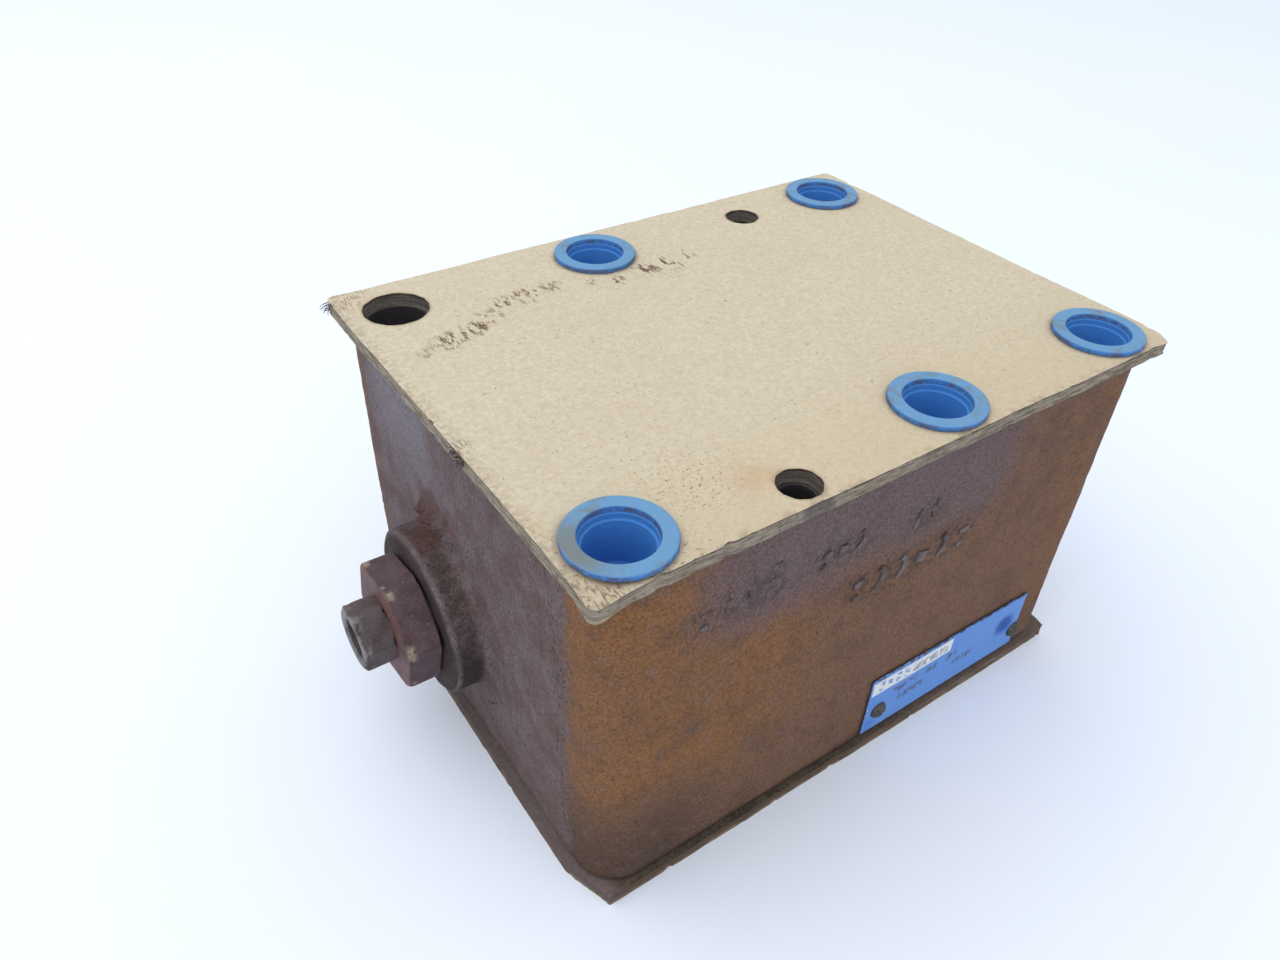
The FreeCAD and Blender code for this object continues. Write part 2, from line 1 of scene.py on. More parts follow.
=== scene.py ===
"""Looks of the stack valve: casting, cover boards, caps, nameplate and adjuster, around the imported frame."""

import math
import random

import bmesh
import bpy
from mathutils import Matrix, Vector, geometry, noise


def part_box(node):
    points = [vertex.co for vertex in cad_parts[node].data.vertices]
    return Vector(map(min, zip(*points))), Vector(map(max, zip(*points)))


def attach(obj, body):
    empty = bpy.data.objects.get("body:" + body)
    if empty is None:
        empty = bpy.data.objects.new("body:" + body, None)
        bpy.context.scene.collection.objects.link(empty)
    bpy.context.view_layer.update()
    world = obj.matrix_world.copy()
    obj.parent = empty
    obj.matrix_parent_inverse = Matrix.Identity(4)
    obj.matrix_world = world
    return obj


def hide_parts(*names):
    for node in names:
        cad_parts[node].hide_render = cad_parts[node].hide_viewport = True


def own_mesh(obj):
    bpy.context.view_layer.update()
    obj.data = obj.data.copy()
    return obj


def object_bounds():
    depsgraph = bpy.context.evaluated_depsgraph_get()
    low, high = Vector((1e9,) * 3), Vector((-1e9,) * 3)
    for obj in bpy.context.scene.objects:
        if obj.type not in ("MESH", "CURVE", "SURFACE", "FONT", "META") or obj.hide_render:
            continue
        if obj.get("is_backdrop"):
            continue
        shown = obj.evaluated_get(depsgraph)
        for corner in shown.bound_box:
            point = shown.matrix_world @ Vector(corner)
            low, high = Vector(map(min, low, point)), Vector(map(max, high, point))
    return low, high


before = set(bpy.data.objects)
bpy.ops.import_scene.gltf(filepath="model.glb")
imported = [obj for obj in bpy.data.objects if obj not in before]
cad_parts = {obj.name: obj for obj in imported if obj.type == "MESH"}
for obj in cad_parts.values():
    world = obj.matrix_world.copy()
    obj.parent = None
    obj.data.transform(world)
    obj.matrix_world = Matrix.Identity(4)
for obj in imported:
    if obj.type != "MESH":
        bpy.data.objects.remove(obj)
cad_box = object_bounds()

# Lengths below are in millimetres and become metres where a mesh is stored.
MM = 0.001
TURN = 2 * math.pi


def box_mm(node):
    """The lowest and highest corner of a CAD node, in millimetres."""
    low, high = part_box(node)
    return low / MM, high / MM


def centre_mm(node):
    low, high = box_mm(node)
    return (low + high) / 2


# The casting
BODY_LOW, BODY_HIGH = box_mm("valve_body")
BOSS_STAND_OUT = 7.8
BOSS_FACE = BODY_LOW.x
BODY_LEFT = BOSS_FACE + BOSS_STAND_OUT
BODY_RIGHT, BODY_REAR, BODY_TOP = BODY_HIGH
BODY_FRONT, BODY_BOTTOM = BODY_LOW.y, BODY_LOW.z
FRONT_CORNER_R = 10.0
REAR_CORNER_R = 6.0
BODY_LOWER_ROUND = 1.5
BODY_UPPER_ROUND = 0.8
SKIN_STEP = 0.85
BORE_Y, BORE_Z = centre_mm("lock_nut").y, centre_mm("lock_nut").z
BOSS_R = 20.6
BOSS_ROOT_ROUND = 2.5
BOSS_RIM_ROUND = 1.2
BOSS_PATCH_R = 26.0
BOSS_FACE_INNER_R = 13.0
BOSS_STEPS = 190

# The cover boards
BOLT_HOLE_R = 7.6
PIN_HOLE_R = 4.55
LOWER_CHIPS = ((-1, 4.5, 13.0), (1, 2.6, 9.0))
UPPER_CHIPS = ((1, 2.4, 4.0),)
BOARD_STEP = 1.35
UPPER_FACE = box_mm("top_cover_board")[1].z
BOARD_LAYERS = 6

DRIVE_SCREWS = ((7.2, 12.2), (58.8, 11.4))

CAPS = ("front_left", "front_middle", "front_right", "rear_middle", "rear_right")
LOWER_CAPS = ("front_middle", "front_right", "rear_middle", "rear_right")
CAP_PLACES = [centre_mm("top_cap_" + name).xy for name in CAPS]
OPEN_BOLT_HOLE = Vector((-65.1, 46.05))
PIN_HOLES = [Vector((-29.4, -50.85)), Vector((35.7, 46.05))]
OPEN_HOLES = [(OPEN_BOLT_HOLE, BOLT_HOLE_R)] + [(place, PIN_HOLE_R) for place in PIN_HOLES]


# ---------------------------------------------------------------- meshes

def finish_piece(bm, name, body, materials, replaced=(), smooth_below=40):
    """Stores a bmesh in millimetres as a piece of the model that rides on a CAD body."""
    bmesh.ops.scale(bm, vec=(MM, MM, MM), verts=bm.verts)
    mesh = bpy.data.meshes.new(name)
    bm.to_mesh(mesh)
    bm.free()
    for material in materials:
        mesh.materials.append(material)
    mesh.polygons.foreach_set("use_smooth", [True] * len(mesh.polygons))
    mesh.set_sharp_from_angle(angle=math.radians(smooth_below))
    piece = bpy.data.objects.new(name, mesh)
    bpy.context.scene.collection.objects.link(piece)
    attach(piece, body)
    if replaced:
        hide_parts(*replaced)
    return piece


def ring_of(bm, points):
    return [bm.verts.new(point) for point in points]


def join_rings(bm, first, second, closed=True):
    """Quads between two rings of as many vertices."""
    count = len(first)
    faces = []
    for i in range(count if closed else count - 1):
        j = (i + 1) % count
        faces.append(bm.faces.new((first[i], first[j], second[j], second[i])))
    return faces


def fan(bm, ring, centre):
    tip = bm.verts.new(centre)
    count = len(ring)
    return [bm.faces.new((ring[i], ring[(i + 1) % count], tip)) for i in range(count)]


def rounded(points, radii, steps=4):
    """A profile with each inner corner replaced by an arc of its radius; 0 leaves it sharp.

    A point close to each end of an arc keeps the smooth shading off the straight parts.
    """
    out = [Vector(points[0])]
    for i in range(1, len(points) - 1):
        corner, radius = Vector(points[i]), radii[i - 1]
        before = (Vector(points[i - 1]) - corner).normalized()
        after = (Vector(points[i + 1]) - corner).normalized()
        half = before.angle(after) / 2
        if radius <= 0:
            out.append(corner)
            continue
        back = radius / math.tan(half)
        middle = corner + (before + after).normalized() * radius / math.sin(half)
        start, end = corner + before * back, corner + after * back
        out.append(start + before * 0.07)
        for k in range(steps + 1):
            t = k / steps
            straight = start.lerp(end, t) - middle
            out.append(middle + straight.normalized() * radius)
        out.append(end + after * 0.07)
    out.append(Vector(points[-1]))
    return out


def lathe(bm, profile, place, steps=96, wobble=None):
    """Sweeps (radius, height) points round an axis; place(a, b, h) puts them in space."""
    rings = []
    for radius, height in profile:
        if radius < 1e-6:
            rings.append(bm.verts.new(place(0, 0, height)))
            continue
        points = []
        for k in range(steps):
            angle = TURN * k / steps
            r = radius + (wobble(angle, radius, height) if wobble else 0)
            points.append(place(r * math.cos(angle), r * math.sin(angle), height))
        rings.append(ring_of(bm, points))
    for first, second in zip(rings, rings[1:]):
        if isinstance(first, bmesh.types.BMVert):
            for k in range(steps):
                bm.faces.new((first, second[k], second[(k + 1) % steps]))
        elif isinstance(second, bmesh.types.BMVert):
            for k in range(steps):
                bm.faces.new((first[k], first[(k + 1) % steps], second))
        else:
            join_rings(bm, first, second)
    return rings


def noise_at(point, size, seed):
    """Smooth noise from about -1 to 1 with features of this size."""
    return noise.noise(Vector(point) / size + Vector((seed * 7.3, seed * 3.1, seed * 5.7)))


def smoothstep(low, high, value):
    t = min(max((value - low) / (high - low), 0.0), 1.0)
    return t * t * (3 - 2 * t)


# ---------------------------------------------------------------- materials

class Look:
    """One procedural material, with a short call for each kind of node that repeats.

    Every texture runs on object coordinates in millimetres, so sizes below are real sizes.
    """

    def __init__(self, name, metallic=0.0, specular=0.5):
        self.material = bpy.data.materials.new(name)
        self.material.use_nodes = True
        self.tree = self.material.node_tree
        self.shader = self.tree.nodes["Principled BSDF"]
        self.shader.inputs["Metallic"].default_value = metallic
        self.shader.inputs["Specular IOR Level"].default_value = specular
        place = self.tree.nodes.new("ShaderNodeTexCoord").outputs["Object"]
        self.mm = self.node("ShaderNodeVectorMath", {0: place, "Scale": 1 / MM}, operation="SCALE")
        split = self.tree.nodes.new("ShaderNodeSeparateXYZ")
        self.tree.links.new(self.mm, split.inputs[0])
        self.x, self.y, self.z = split.outputs

    def node(self, kind, inputs, output=0, **settings):
        made = self.tree.nodes.new(kind)
        for key, value in settings.items():
            setattr(made, key, value)
        for key, value in inputs.items():
            if isinstance(value, bpy.types.NodeSocket):
                self.tree.links.new(value, made.inputs[key])
            elif isinstance(value, tuple) and len(value) == 3 and made.inputs[key].type == "RGBA":
                made.inputs[key].default_value = (*value, 1.0)
            else:
                made.inputs[key].default_value = value
        return made.outputs[output]

    def noise(self, size, detail=3.0, rough=0.55, stretch=(1, 1, 1), shift=0.0):
        """Noise from 0 to 1 with features of a size, drawn out along an axis by stretch."""
        scaled = self.node(
            "ShaderNodeVectorMath",
            {0: self.mm, 1: Vector([1 / s for s in stretch])},
            operation="MULTIPLY",
        )
        moved = self.node("ShaderNodeVectorMath", {0: scaled, 1: Vector((shift, shift, shift))})
        return self.node(
            "ShaderNodeTexNoise",
            {"Vector": moved, "Scale": 1 / size, "Detail": detail, "Roughness": rough},
        )

    def step(self, value, low, high, bottom=0.0, top=1.0):
        """A smooth rise from bottom to top as the value goes from low to high."""
        return self.node(
            "ShaderNodeMapRange",
            {"Value": value, "From Min": low, "From Max": high, "To Min": bottom, "To Max": top},
            interpolation_type="SMOOTHSTEP",
        )

    def math(self, operation, a, b=0.0):
        return self.node("ShaderNodeMath", {0: a, 1: b}, operation=operation)

    def add(self, a, b):
        return self.math("ADD", a, b)

    def times(self, a, b):
        return self.math("MULTIPLY", a, b)

    def mix(self, factor, a, b, blend="MIX"):
        made = self.tree.nodes.new("ShaderNodeMix")
        made.data_type = "RGBA"
        made.blend_type = blend
        sockets = {"Factor": made.inputs[0], "A": made.inputs[6], "B": made.inputs[7]}
        for key, value in (("Factor", factor), ("A", a), ("B", b)):
            if isinstance(value, bpy.types.NodeSocket):
                self.tree.links.new(value, sockets[key])
            else:
                sockets[key].default_value = (*value, 1.0) if isinstance(value, tuple) else value
        return made.outputs[2]

    def tint(self, colour, tone, mask, strength):
        """Lays a tone over a colour where a mask is 1, at a strength."""
        return self.mix(self.times(mask, strength), colour, tone)

    def between(self, value, low, high, soft):
        """1 where the value lies between low and high, with soft ends."""
        rise = self.step(value, low - soft, low + soft)
        fall = self.step(value, high - soft, high + soft, 1.0, 0.0)
        return self.times(rise, fall)

    def near(self, centre, radius, soft, ragged=0.0):
        """1 within a radius of a point, with a soft edge that a noise can make ragged."""
        gap = self.node("ShaderNodeVectorMath", {0: self.mm, 1: Vector(centre)}, 1, operation="DISTANCE")
        return self.step(self.add(gap, ragged), radius - soft, radius + soft, 1.0, 0.0)

    def from_bore(self):
        """Distance from the axis of the main bore, on which the adjuster sits."""
        offset = self.node(
            "ShaderNodeCombineXYZ",
            {"Y": self.add(self.y, -BORE_Y), "Z": self.add(self.z, -BORE_Z)},
        )
        return self.node("ShaderNodeVectorMath", {0: offset}, 1, operation="LENGTH")

    def upward(self):
        """How far the surface faces up: 1 for a top face, 0 for a wall, -1 for an underside."""
        facing = self.tree.nodes.new("ShaderNodeNewGeometry").outputs["Normal"]
        split = self.tree.nodes.new("ShaderNodeSeparateXYZ")
        self.tree.links.new(facing, split.inputs[0])
        return split.outputs["Z"]

    def bump(self, height, depth, strength=1.0, under=None):
        """Adds relief of a depth in millimetres, on top of an earlier bump."""
        inputs = {"Height": height, "Distance": depth * MM, "Strength": strength}
        if under is not None:
            inputs["Normal"] = under
        return self.node("ShaderNodeBump", inputs)

    def finish(self, colour, rough, normal=None):
        self.tree.links.new(colour, self.shader.inputs["Base Color"])
        self.tree.links.new(rough, self.shader.inputs["Roughness"])
        if normal is not None:
            self.tree.links.new(normal, self.shader.inputs["Normal"])
        return self.material


# Linear base colours
RUST_ORANGE = (0.198, 0.092, 0.037)
RUST_BROWN = (0.158, 0.084, 0.050)
RUST_DARK = (0.098, 0.056, 0.037)
RUST_BLACK = (0.078, 0.045, 0.031)
PRIMER_PURPLE = (0.108, 0.068, 0.066)
PRIMER_GREY = (0.138, 0.109, 0.112)
PRIMER_BROWN = (0.080, 0.046, 0.040)
# Soot black: the dark pits, and painted contact shade at the body's foot
SOOT_AND_FOOT_SHADE = (0.022, 0.017, 0.016)


# Worn raised marks on the front, one for each MARK_PITCH of their height along a row:
# (start x, height, tall, number of marks, slope, seed)
MARK_PITCH = 0.86
MARK_ROWS = [
    (-54.5, 74.8, 6.2, 4, 0.24, 3),
    (-25.0, 75.2, 5.4, 3, 0.10, 8),
    (1.0, 73.6, 5.6, 2, 0.10, 14),
    (-14.0, 59.8, 7.4, 6, 0.0, 21),
]


def front_rust(look, broad, patch, blotch):
    """Brown rust, orange high on the left and nearly black at the lower left corner."""
    glow = look.times(look.step(look.x, 0.0, -50.0), look.step(look.z, 12.0, 42.0))
    uneven = look.add(broad, look.times(look.add(patch, -0.5), 0.5))
    glow = look.times(glow, look.step(uneven, 0.25, 0.55, 0.45, 1.0))
    glow = look.math("MAXIMUM", glow, look.times(look.step(look.x, 45.0, 66.0), 0.35))
    rust = look.mix(glow, RUST_BROWN, RUST_ORANGE)
    rust = look.tint(rust, RUST_DARK, look.step(patch, 0.46, 0.70), 0.5)
    low_left = look.times(look.step(look.z, 42.0, 10.0), look.step(look.x, -36.0, -60.0, 0.12, 0.95))
    rust = look.mix(low_left, rust, RUST_BLACK)
    return look.tint(rust, PRIMER_GREY, look.step(blotch, 0.55, 0.70), 0.25)


def old_primer(look, patch):
    """Purple-grey primer with brown runs, paler high up and browner towards the front and the foot."""
    streak = look.noise(2.0, 3, 0.6, stretch=(1, 1, 10), shift=41)
    primer = look.mix(look.step(patch, 0.30, 0.70), PRIMER_PURPLE, PRIMER_GREY)
    primer = look.tint(primer, PRIMER_BROWN, look.step(streak, 0.52, 0.72), 0.45)
    upper = look.times(look.step(look.z, 52.0, 84.0), look.between(look.y, 14.0, 44.0, 7.0))
    primer = look.tint(primer, (0.186, 0.168, 0.186), upper, 0.75)
    primer = look.mix(look.step(look.y, -18.0, -44.0, 0.0, 0.30), primer, (0.130, 0.070, 0.055))
    return look.tint(primer, (0.110, 0.068, 0.058), look.step(look.z, 30.0, 6.0), 0.35)


def kept_primer(look, broad):
    """1 in the band under the upper board where the front has kept some of its primer."""
    edge = look.add(look.z, look.times(look.add(broad, -0.5), 12.0))
    band = look.times(look.step(edge, 62.0, 79.0), look.between(look.x, -51.0, 30.0, 11.0))
    return look.math("MAXIMUM", band, look.step(look.z, 88.0, 93.0, 0.0, 0.35))


def grime_round_marks(look, colour, front):
    """Dirt that the rows of raised marks hold."""
    for start, height, tall, count, _, _ in MARK_ROWS:
        end = start + count * tall * MARK_PITCH
        along_row = look.between(look.x, start - 1, end + 1, 2.5)
        row = look.times(along_row, look.between(look.z, height - 1, height + tall + 1, 2.0))
        grime = look.times(look.times(row, front), look.step(look.noise(1.6, 3, shift=start), 0.42, 0.60))
        colour = look.tint(colour, (0.050, 0.038, 0.036), grime, 0.55)
    return colour


def boss_grime(look, colour, patch, blotch):
    """The boss: dirt at its side, a dark patch low on its front side, rusty flash above, a dark end face and a
    rubbed rim.
    """
    uneven = look.add(patch, -0.5)
    on_boss = look.step(look.x, BODY_LEFT - 0.6, BODY_LEFT - 2.4)
    grime = look.mix(look.step(blotch, 0.36, 0.66), (0.058, 0.040, 0.038), (0.112, 0.082, 0.082))
    colour = look.tint(colour, grime, on_boss, 0.8)
    # Darkens the lower front of the boss's side
    boss_low_front_dark = look.near((BODY_LEFT - 4.0, BORE_Y - 17.5, BORE_Z - 9.0), 13.0, 7.0, look.times(uneven, 12.0))
    colour = look.tint(colour, (0.030, 0.023, 0.019), look.times(boss_low_front_dark, on_boss), 0.85)
    flash = look.near((BODY_LEFT - 3.0, 15.0, 61.0), 8.0, 3.0, look.times(uneven, 14.0))
    colour = look.tint(colour, (0.088, 0.046, 0.040), flash, 0.75)

    from_bore = look.from_bore()
    on_end = look.step(look.x, BOSS_FACE + 0.6, BOSS_FACE + 0.2)
    on_end = look.times(on_end, look.step(from_bore, 19.6, 18.4))
    end_grime = look.mix(look.step(patch, 0.35, 0.65), (0.035, 0.025, 0.024), (0.062, 0.041, 0.039))
    colour = look.mix(on_end, colour, end_grime)
    rim = look.between(from_bore, BOSS_R - 0.65, BOSS_R + 0.2, 0.3)
    rim = look.times(rim, look.step(look.x, BOSS_FACE + 1.7, BOSS_FACE + 0.7))
    rim = look.times(rim, look.step(patch, 0.35, 0.65, 0.20, 0.70))
    return look.mix(rim, colour, (0.150, 0.138, 0.146))


def cast_skin():
    """Old primer gone purple-grey, worn through to brown and orange rust on the front."""
    look = Look("cast_skin", specular=0.2)
    broad = look.noise(26, 4)
    patch = look.noise(8, 4, shift=11)
    blotch = look.noise(3.0, 3, shift=23)
    grain = look.noise(0.62, 3, 0.7, shift=5)
    uneven = look.add(patch, -0.5)

    ragged = look.add(look.times(uneven, 9.0), look.times(look.add(grain, -0.5), 5.0))
    front = look.step(look.add(look.y, ragged), -41.2, -44.7)
    rear = look.step(look.add(look.y, look.times(uneven, 10.0)), 48.0, 51.5)
    kept = kept_primer(look, broad)
    bare = look.math("MAXIMUM", front, look.times(rear, 0.8))
    bare = look.times(bare, look.step(kept, 0, 1, 1, 0.12))
    colour = look.mix(bare, old_primer(look, patch), front_rust(look, broad, patch, blotch))
    colour = look.tint(colour, (0.128, 0.092, 0.094), look.times(front, kept), 0.6)
    colour = grime_round_marks(look, colour, front)
    colour = boss_grime(look, colour, patch, blotch)

    smudge = look.near((-52.0, BODY_FRONT, 47.0), 2.6, 2.4, look.times(uneven, 6.0))
    colour = look.tint(colour, (0.060, 0.055, 0.055), smudge, 0.5)
    near_corner = look.between(look.y, -44.5, -36.5, 2.0)
    pit_level = look.step(near_corner, 0, 1, 0.69, 0.61)
    pits = look.step(look.math("SUBTRACT", look.noise(1.2, 2, shift=61), pit_level), 0.0, 0.05)
    colour = look.tint(colour, SOOT_AND_FOOT_SHADE, pits, 0.6)
    specks = look.step(look.noise(0.8, 2, shift=83), 0.70, 0.76)
    colour = look.tint(colour, (0.30, 0.22, 0.16), specks, 0.35)
    speckle = look.mix(look.step(grain, 0.25, 0.75), (0.55, 0.54, 0.54), (1.45, 1.46, 1.48))
    colour = look.mix(0.85, colour, speckle, "MULTIPLY")
    # Painted contact shade: the foot of the body, where it stands on the lower board, darkens to soot black,
    # less so on the left
    foot = look.step(look.z, BODY_BOTTOM + 3.5, BODY_BOTTOM, 0.0, 0.8)
    foot = look.times(foot, look.step(look.x, -70.0, -60.0, 0.15, 1.0))
    colour = look.mix(foot, colour, SOOT_AND_FOOT_SHADE)

    rough = look.step(grain, 0.2, 0.8, 0.72, 0.95)
    relief = look.bump(look.noise(2.1, 4, 0.6, shift=3), 0.35, 0.8)
    relief = look.bump(grain, 0.22, 1.0, relief)
    relief = look.bump(look.math("SUBTRACT", 1.0, pits), 0.25, 0.8, relief)
    return look.finish(colour, rough, relief)


def machined_iron():
    """Ground port faces of grey iron, with painted shade on them at the bottom of the holes that stay open."""
    look = Look("machined_iron", metallic=0.75, specular=0.25)
    stain = look.noise(14, 4)
    marks = look.noise(0.35, 2, 0.5, stretch=(60, 1, 1), shift=9)
    grain = look.noise(0.7, 3, shift=4)
    colour = look.mix(stain, (0.30, 0.29, 0.28), (0.44, 0.43, 0.42))
    colour = look.tint(colour, (0.20, 0.13, 0.09), look.step(stain, 0.55, 0.75), 0.5)
    colour = look.tint(colour, (0.22, 0.21, 0.21), marks, 0.35)
    # Painted shade where the flat top face shows at the bottom of the open holes
    for place, _ in OPEN_HOLES:
        hole_floor_shade = look.near((place.x, place.y, BODY_TOP), 9.5, 2.0)
        colour = look.tint(colour, (0.030, 0.024, 0.024), hole_floor_shade, 0.9)
    rough = look.step(marks, 0.2, 0.8, 0.34, 0.60)
    relief = look.bump(marks, 0.02, 0.6)
    relief = look.bump(grain, 0.03, 0.5, relief)
    return look.finish(colour, rough, relief)


def shaded_bore_iron():
    """Walls of the bores, ports and holes, painted near black for the shade deep inside them, with brown
    specks.
    """
    look = Look("shaded_bore_iron", specular=0.15)
    stain = look.noise(5, 4)
    grain = look.noise(0.7, 3, shift=4)
    # Near black stands for the shade inside the bores and holes
    colour = look.mix(stain, (0.008, 0.007, 0.009), (0.020, 0.017, 0.019))
    colour = look.tint(colour, (0.040, 0.028, 0.022), look.step(grain, 0.60, 0.75), 0.4)
    rough = look.step(grain, 0.2, 0.8, 0.62, 0.85)
    return look.finish(colour, rough, look.bump(grain, 0.05, 0.7))


BOARD_TAN = (0.535, 0.458, 0.325)
BOARD_PALE = (0.615, 0.548, 0.420)
# Dark and pale layers of the boards' edges
EDGE_UPPER = (0.150, 0.122, 0.098), (0.330, 0.285, 0.215)
EDGE_LOWER = (0.090, 0.062, 0.045), (0.230, 0.178, 0.125)


def hardboard(name, soiled):
    """Pressed fibre board: fine mottled tan face with dark fibres, and grubby frayed edges; painted shade
    darkens the walls of the open holes.

    The soiled one is the upper board with its handling marks; the lower one is dirtier all over.
    """
    look = Look(name, specular=0.15)
    cloud = look.noise(30, 3)
    mottle = look.noise(1.1, 4, 0.65, shift=13)
    fibre = look.noise(0.42, 3, 0.65, stretch=(3, 1, 1), shift=29)
    cross = look.noise(0.42, 3, 0.65, stretch=(1, 3, 1), shift=47)
    colour = look.mix(look.step(mottle, 0.30, 0.70), BOARD_TAN, BOARD_PALE)
    colour = look.tint(colour, (0.50, 0.40, 0.27), look.step(cloud, 0.45, 0.7), 0.15)
    colour = look.tint(colour, (0.36, 0.27, 0.18), look.step(fibre, 0.52, 0.72), 0.42)
    colour = look.tint(colour, (0.76, 0.72, 0.60), look.step(cross, 0.54, 0.74), 0.40)
    dots = look.step(look.noise(0.8, 1, shift=71), 0.745, 0.775)
    colour = look.tint(colour, (0.10, 0.07, 0.05), dots, 0.7)
    if soiled:
        colour = look.mix(look.step(look.y, -15.0, -58.0, 0.0, 0.45), colour, (0.500, 0.405, 0.262))
        colour = board_wear(look, colour)
    else:
        dirt = look.mix(look.step(look.x, -10.0, 40.0), (0.040, 0.026, 0.020), (0.110, 0.082, 0.074))
        dirt = look.mix(look.step(look.noise(6, 4), 0.35, 0.65, 0.0, 0.25), dirt, (0.150, 0.098, 0.060))
        dirt = look.mix(look.step(look.x, -66.0, -73.0), dirt, (0.128, 0.094, 0.098))
        colour = look.mix(look.step(mottle, 0.2, 0.8, 1.0, 0.88), colour, dirt)

    side = look.step(look.math("ABSOLUTE", look.upward()), 0.75, 0.45)
    layer = look.noise(0.55, 3, 0.65, stretch=(10, 10, 1), shift=17)
    dark, pale = EDGE_UPPER if soiled else EDGE_LOWER
    edge = look.mix(look.step(layer, 0.32, 0.66), dark, pale)
    edge = look.tint(edge, (0.075, 0.052, 0.042), look.step(mottle, 0.5, 0.72), 0.55)
    if not soiled:
        coat = look.mix(look.step(look.x, -66.0, -73.0), (0.100, 0.066, 0.045), (0.120, 0.088, 0.090))
        coated = look.times(look.step(look.z, 0.3, 0.9), look.step(look.x, 45.0, -15.0, 0.15, 0.90))
        edge = look.mix(coated, edge, coat)
    # Painted shade: the walls of the upper board's open holes are grey-dark down inside them
    for place, radius in OPEN_HOLES:
        bore = look.near((place.x, place.y, BODY_TOP), radius + 2.5, 0.5)
        edge = look.tint(edge, (0.085, 0.080, 0.078), bore, 0.6)
    lip = UPPER_FACE if soiled else BODY_BOTTOM
    lip_line = look.between(look.z, lip - 0.75, lip - 0.1, 0.2)
    lip_line = look.times(lip_line, look.step(look.noise(3.0, 3, shift=53), 0.38, 0.52))
    edge = look.tint(edge, (0.055, 0.036, 0.028), lip_line, 0.65)
    colour = look.mix(side, colour, edge)

    rough = look.step(mottle, 0.2, 0.8, 0.80, 0.97)
    relief = look.bump(fibre, 0.09, 0.8)
    relief = look.bump(cross, 0.09, 0.8, relief)
    relief = look.bump(look.times(layer, side), 0.40, 1.0, relief)
    return look.finish(colour, rough, relief)


def board_wear(look, colour):
    """Handling marks on the upper face: a scraped band, grime round the holes, dirty corners."""
    top = UPPER_FACE
    brown = (0.120, 0.075, 0.052)
    strokes = look.step(look.noise(1.0, 3, 0.6, stretch=(1, 3.2, 1), shift=97), 0.50, 0.60)
    wander = look.times(look.add(look.noise(5, 2, shift=91), -0.5), 5.0)
    for x, y, radius, strength in SCRAPES:
        spot = look.near((x, y, top), radius, radius * 0.55, wander)
        colour = look.tint(colour, brown, look.times(spot, strokes), strength)
    for place in CAP_PLACES:
        grime = look.near((place.x, place.y, top), 10.5, 0.9, look.times(wander, 0.4))
        colour = look.tint(colour, (0.20, 0.14, 0.10), grime, 0.55)
    for place, radius in OPEN_HOLES:
        rim = look.near((place.x, place.y, top), radius + 0.3, 0.6, look.times(wander, 0.3))
        colour = look.tint(colour, (0.24, 0.16, 0.10), rim, 0.6)
    stain = look.near((-35.0, -45.0, top), 4.0, 3.5, wander)
    colour = look.tint(colour, (0.50, 0.27, 0.11), stain, 0.30)
    dust = look.step(look.noise(0.7, 2, shift=77), 0.60, 0.66)
    for x, y, radius in ((-46.0, -40.0, 9.0), (-74.0, -54.0, 13.0), (-60.0, -58.0, 9.0)):
        sprinkle = look.times(look.near((x, y, top), radius, radius * 0.7, wander), dust)
        colour = look.tint(colour, brown, sprinkle, 0.65)
    left = look.times(look.step(look.x, -73.0, -77.0), look.step(look.noise(1.3, 3, shift=19), 0.40, 0.60))
    front = look.times(look.step(look.y, -54.6, -56.8), look.step(look.noise(3.2, 3, shift=39), 0.46, 0.64))
    worn = look.math("MAXIMUM", look.times(left, 0.35), look.times(front, 0.5))
    colour = look.mix(worn, colour, (0.22, 0.15, 0.10))
    creases = look.step(look.noise(0.42, 2, 0.5, stretch=(1, 5, 1), shift=67), 0.50, 0.62)
    for x, y, radius, strength in TORN_PLACES:
        worn = look.times(look.near((x, y, top), radius, radius * 0.5, wander), creases)
        colour = look.tint(colour, (0.20, 0.14, 0.095), worn, strength)
    return colour


# Creased and torn places on the upper board: (x, y, radius, strength)
TORN_PLACES = [(-76.5, -56.5, 8.5, 0.75), (-75.0, 56.0, 6.0, 0.65), (-77.0, -8.5, 3.0, 0.85)]

# Scraped places on it, in the same way
SCRAPES = [
    (-67.0, 24.0, 2.6, 0.6), (-60.5, 26.5, 3.6, 0.9), (-54.5, 29.0, 3.2, 0.9), (-49.0, 32.5, 3.2, 0.7),
    (-43.0, 35.5, 3.4, 0.9), (-36.0, 36.5, 3.4, 0.9), (-29.5, 37.0, 2.8, 0.7), (-21.0, 34.5, 1.8, 0.8),
    (-14.5, 32.0, 1.8, 0.9), (-5.5, 34.0, 2.6, 0.9), (-0.5, 33.0, 4.4, 1.0), (3.5, 33.5, 3.6, 0.9),
    (8.5, 35.5, 3.0, 0.6),
]


CAP_BLUE = (0.058, 0.225, 0.570)
CAP_DUSTY = (0.130, 0.290, 0.490)


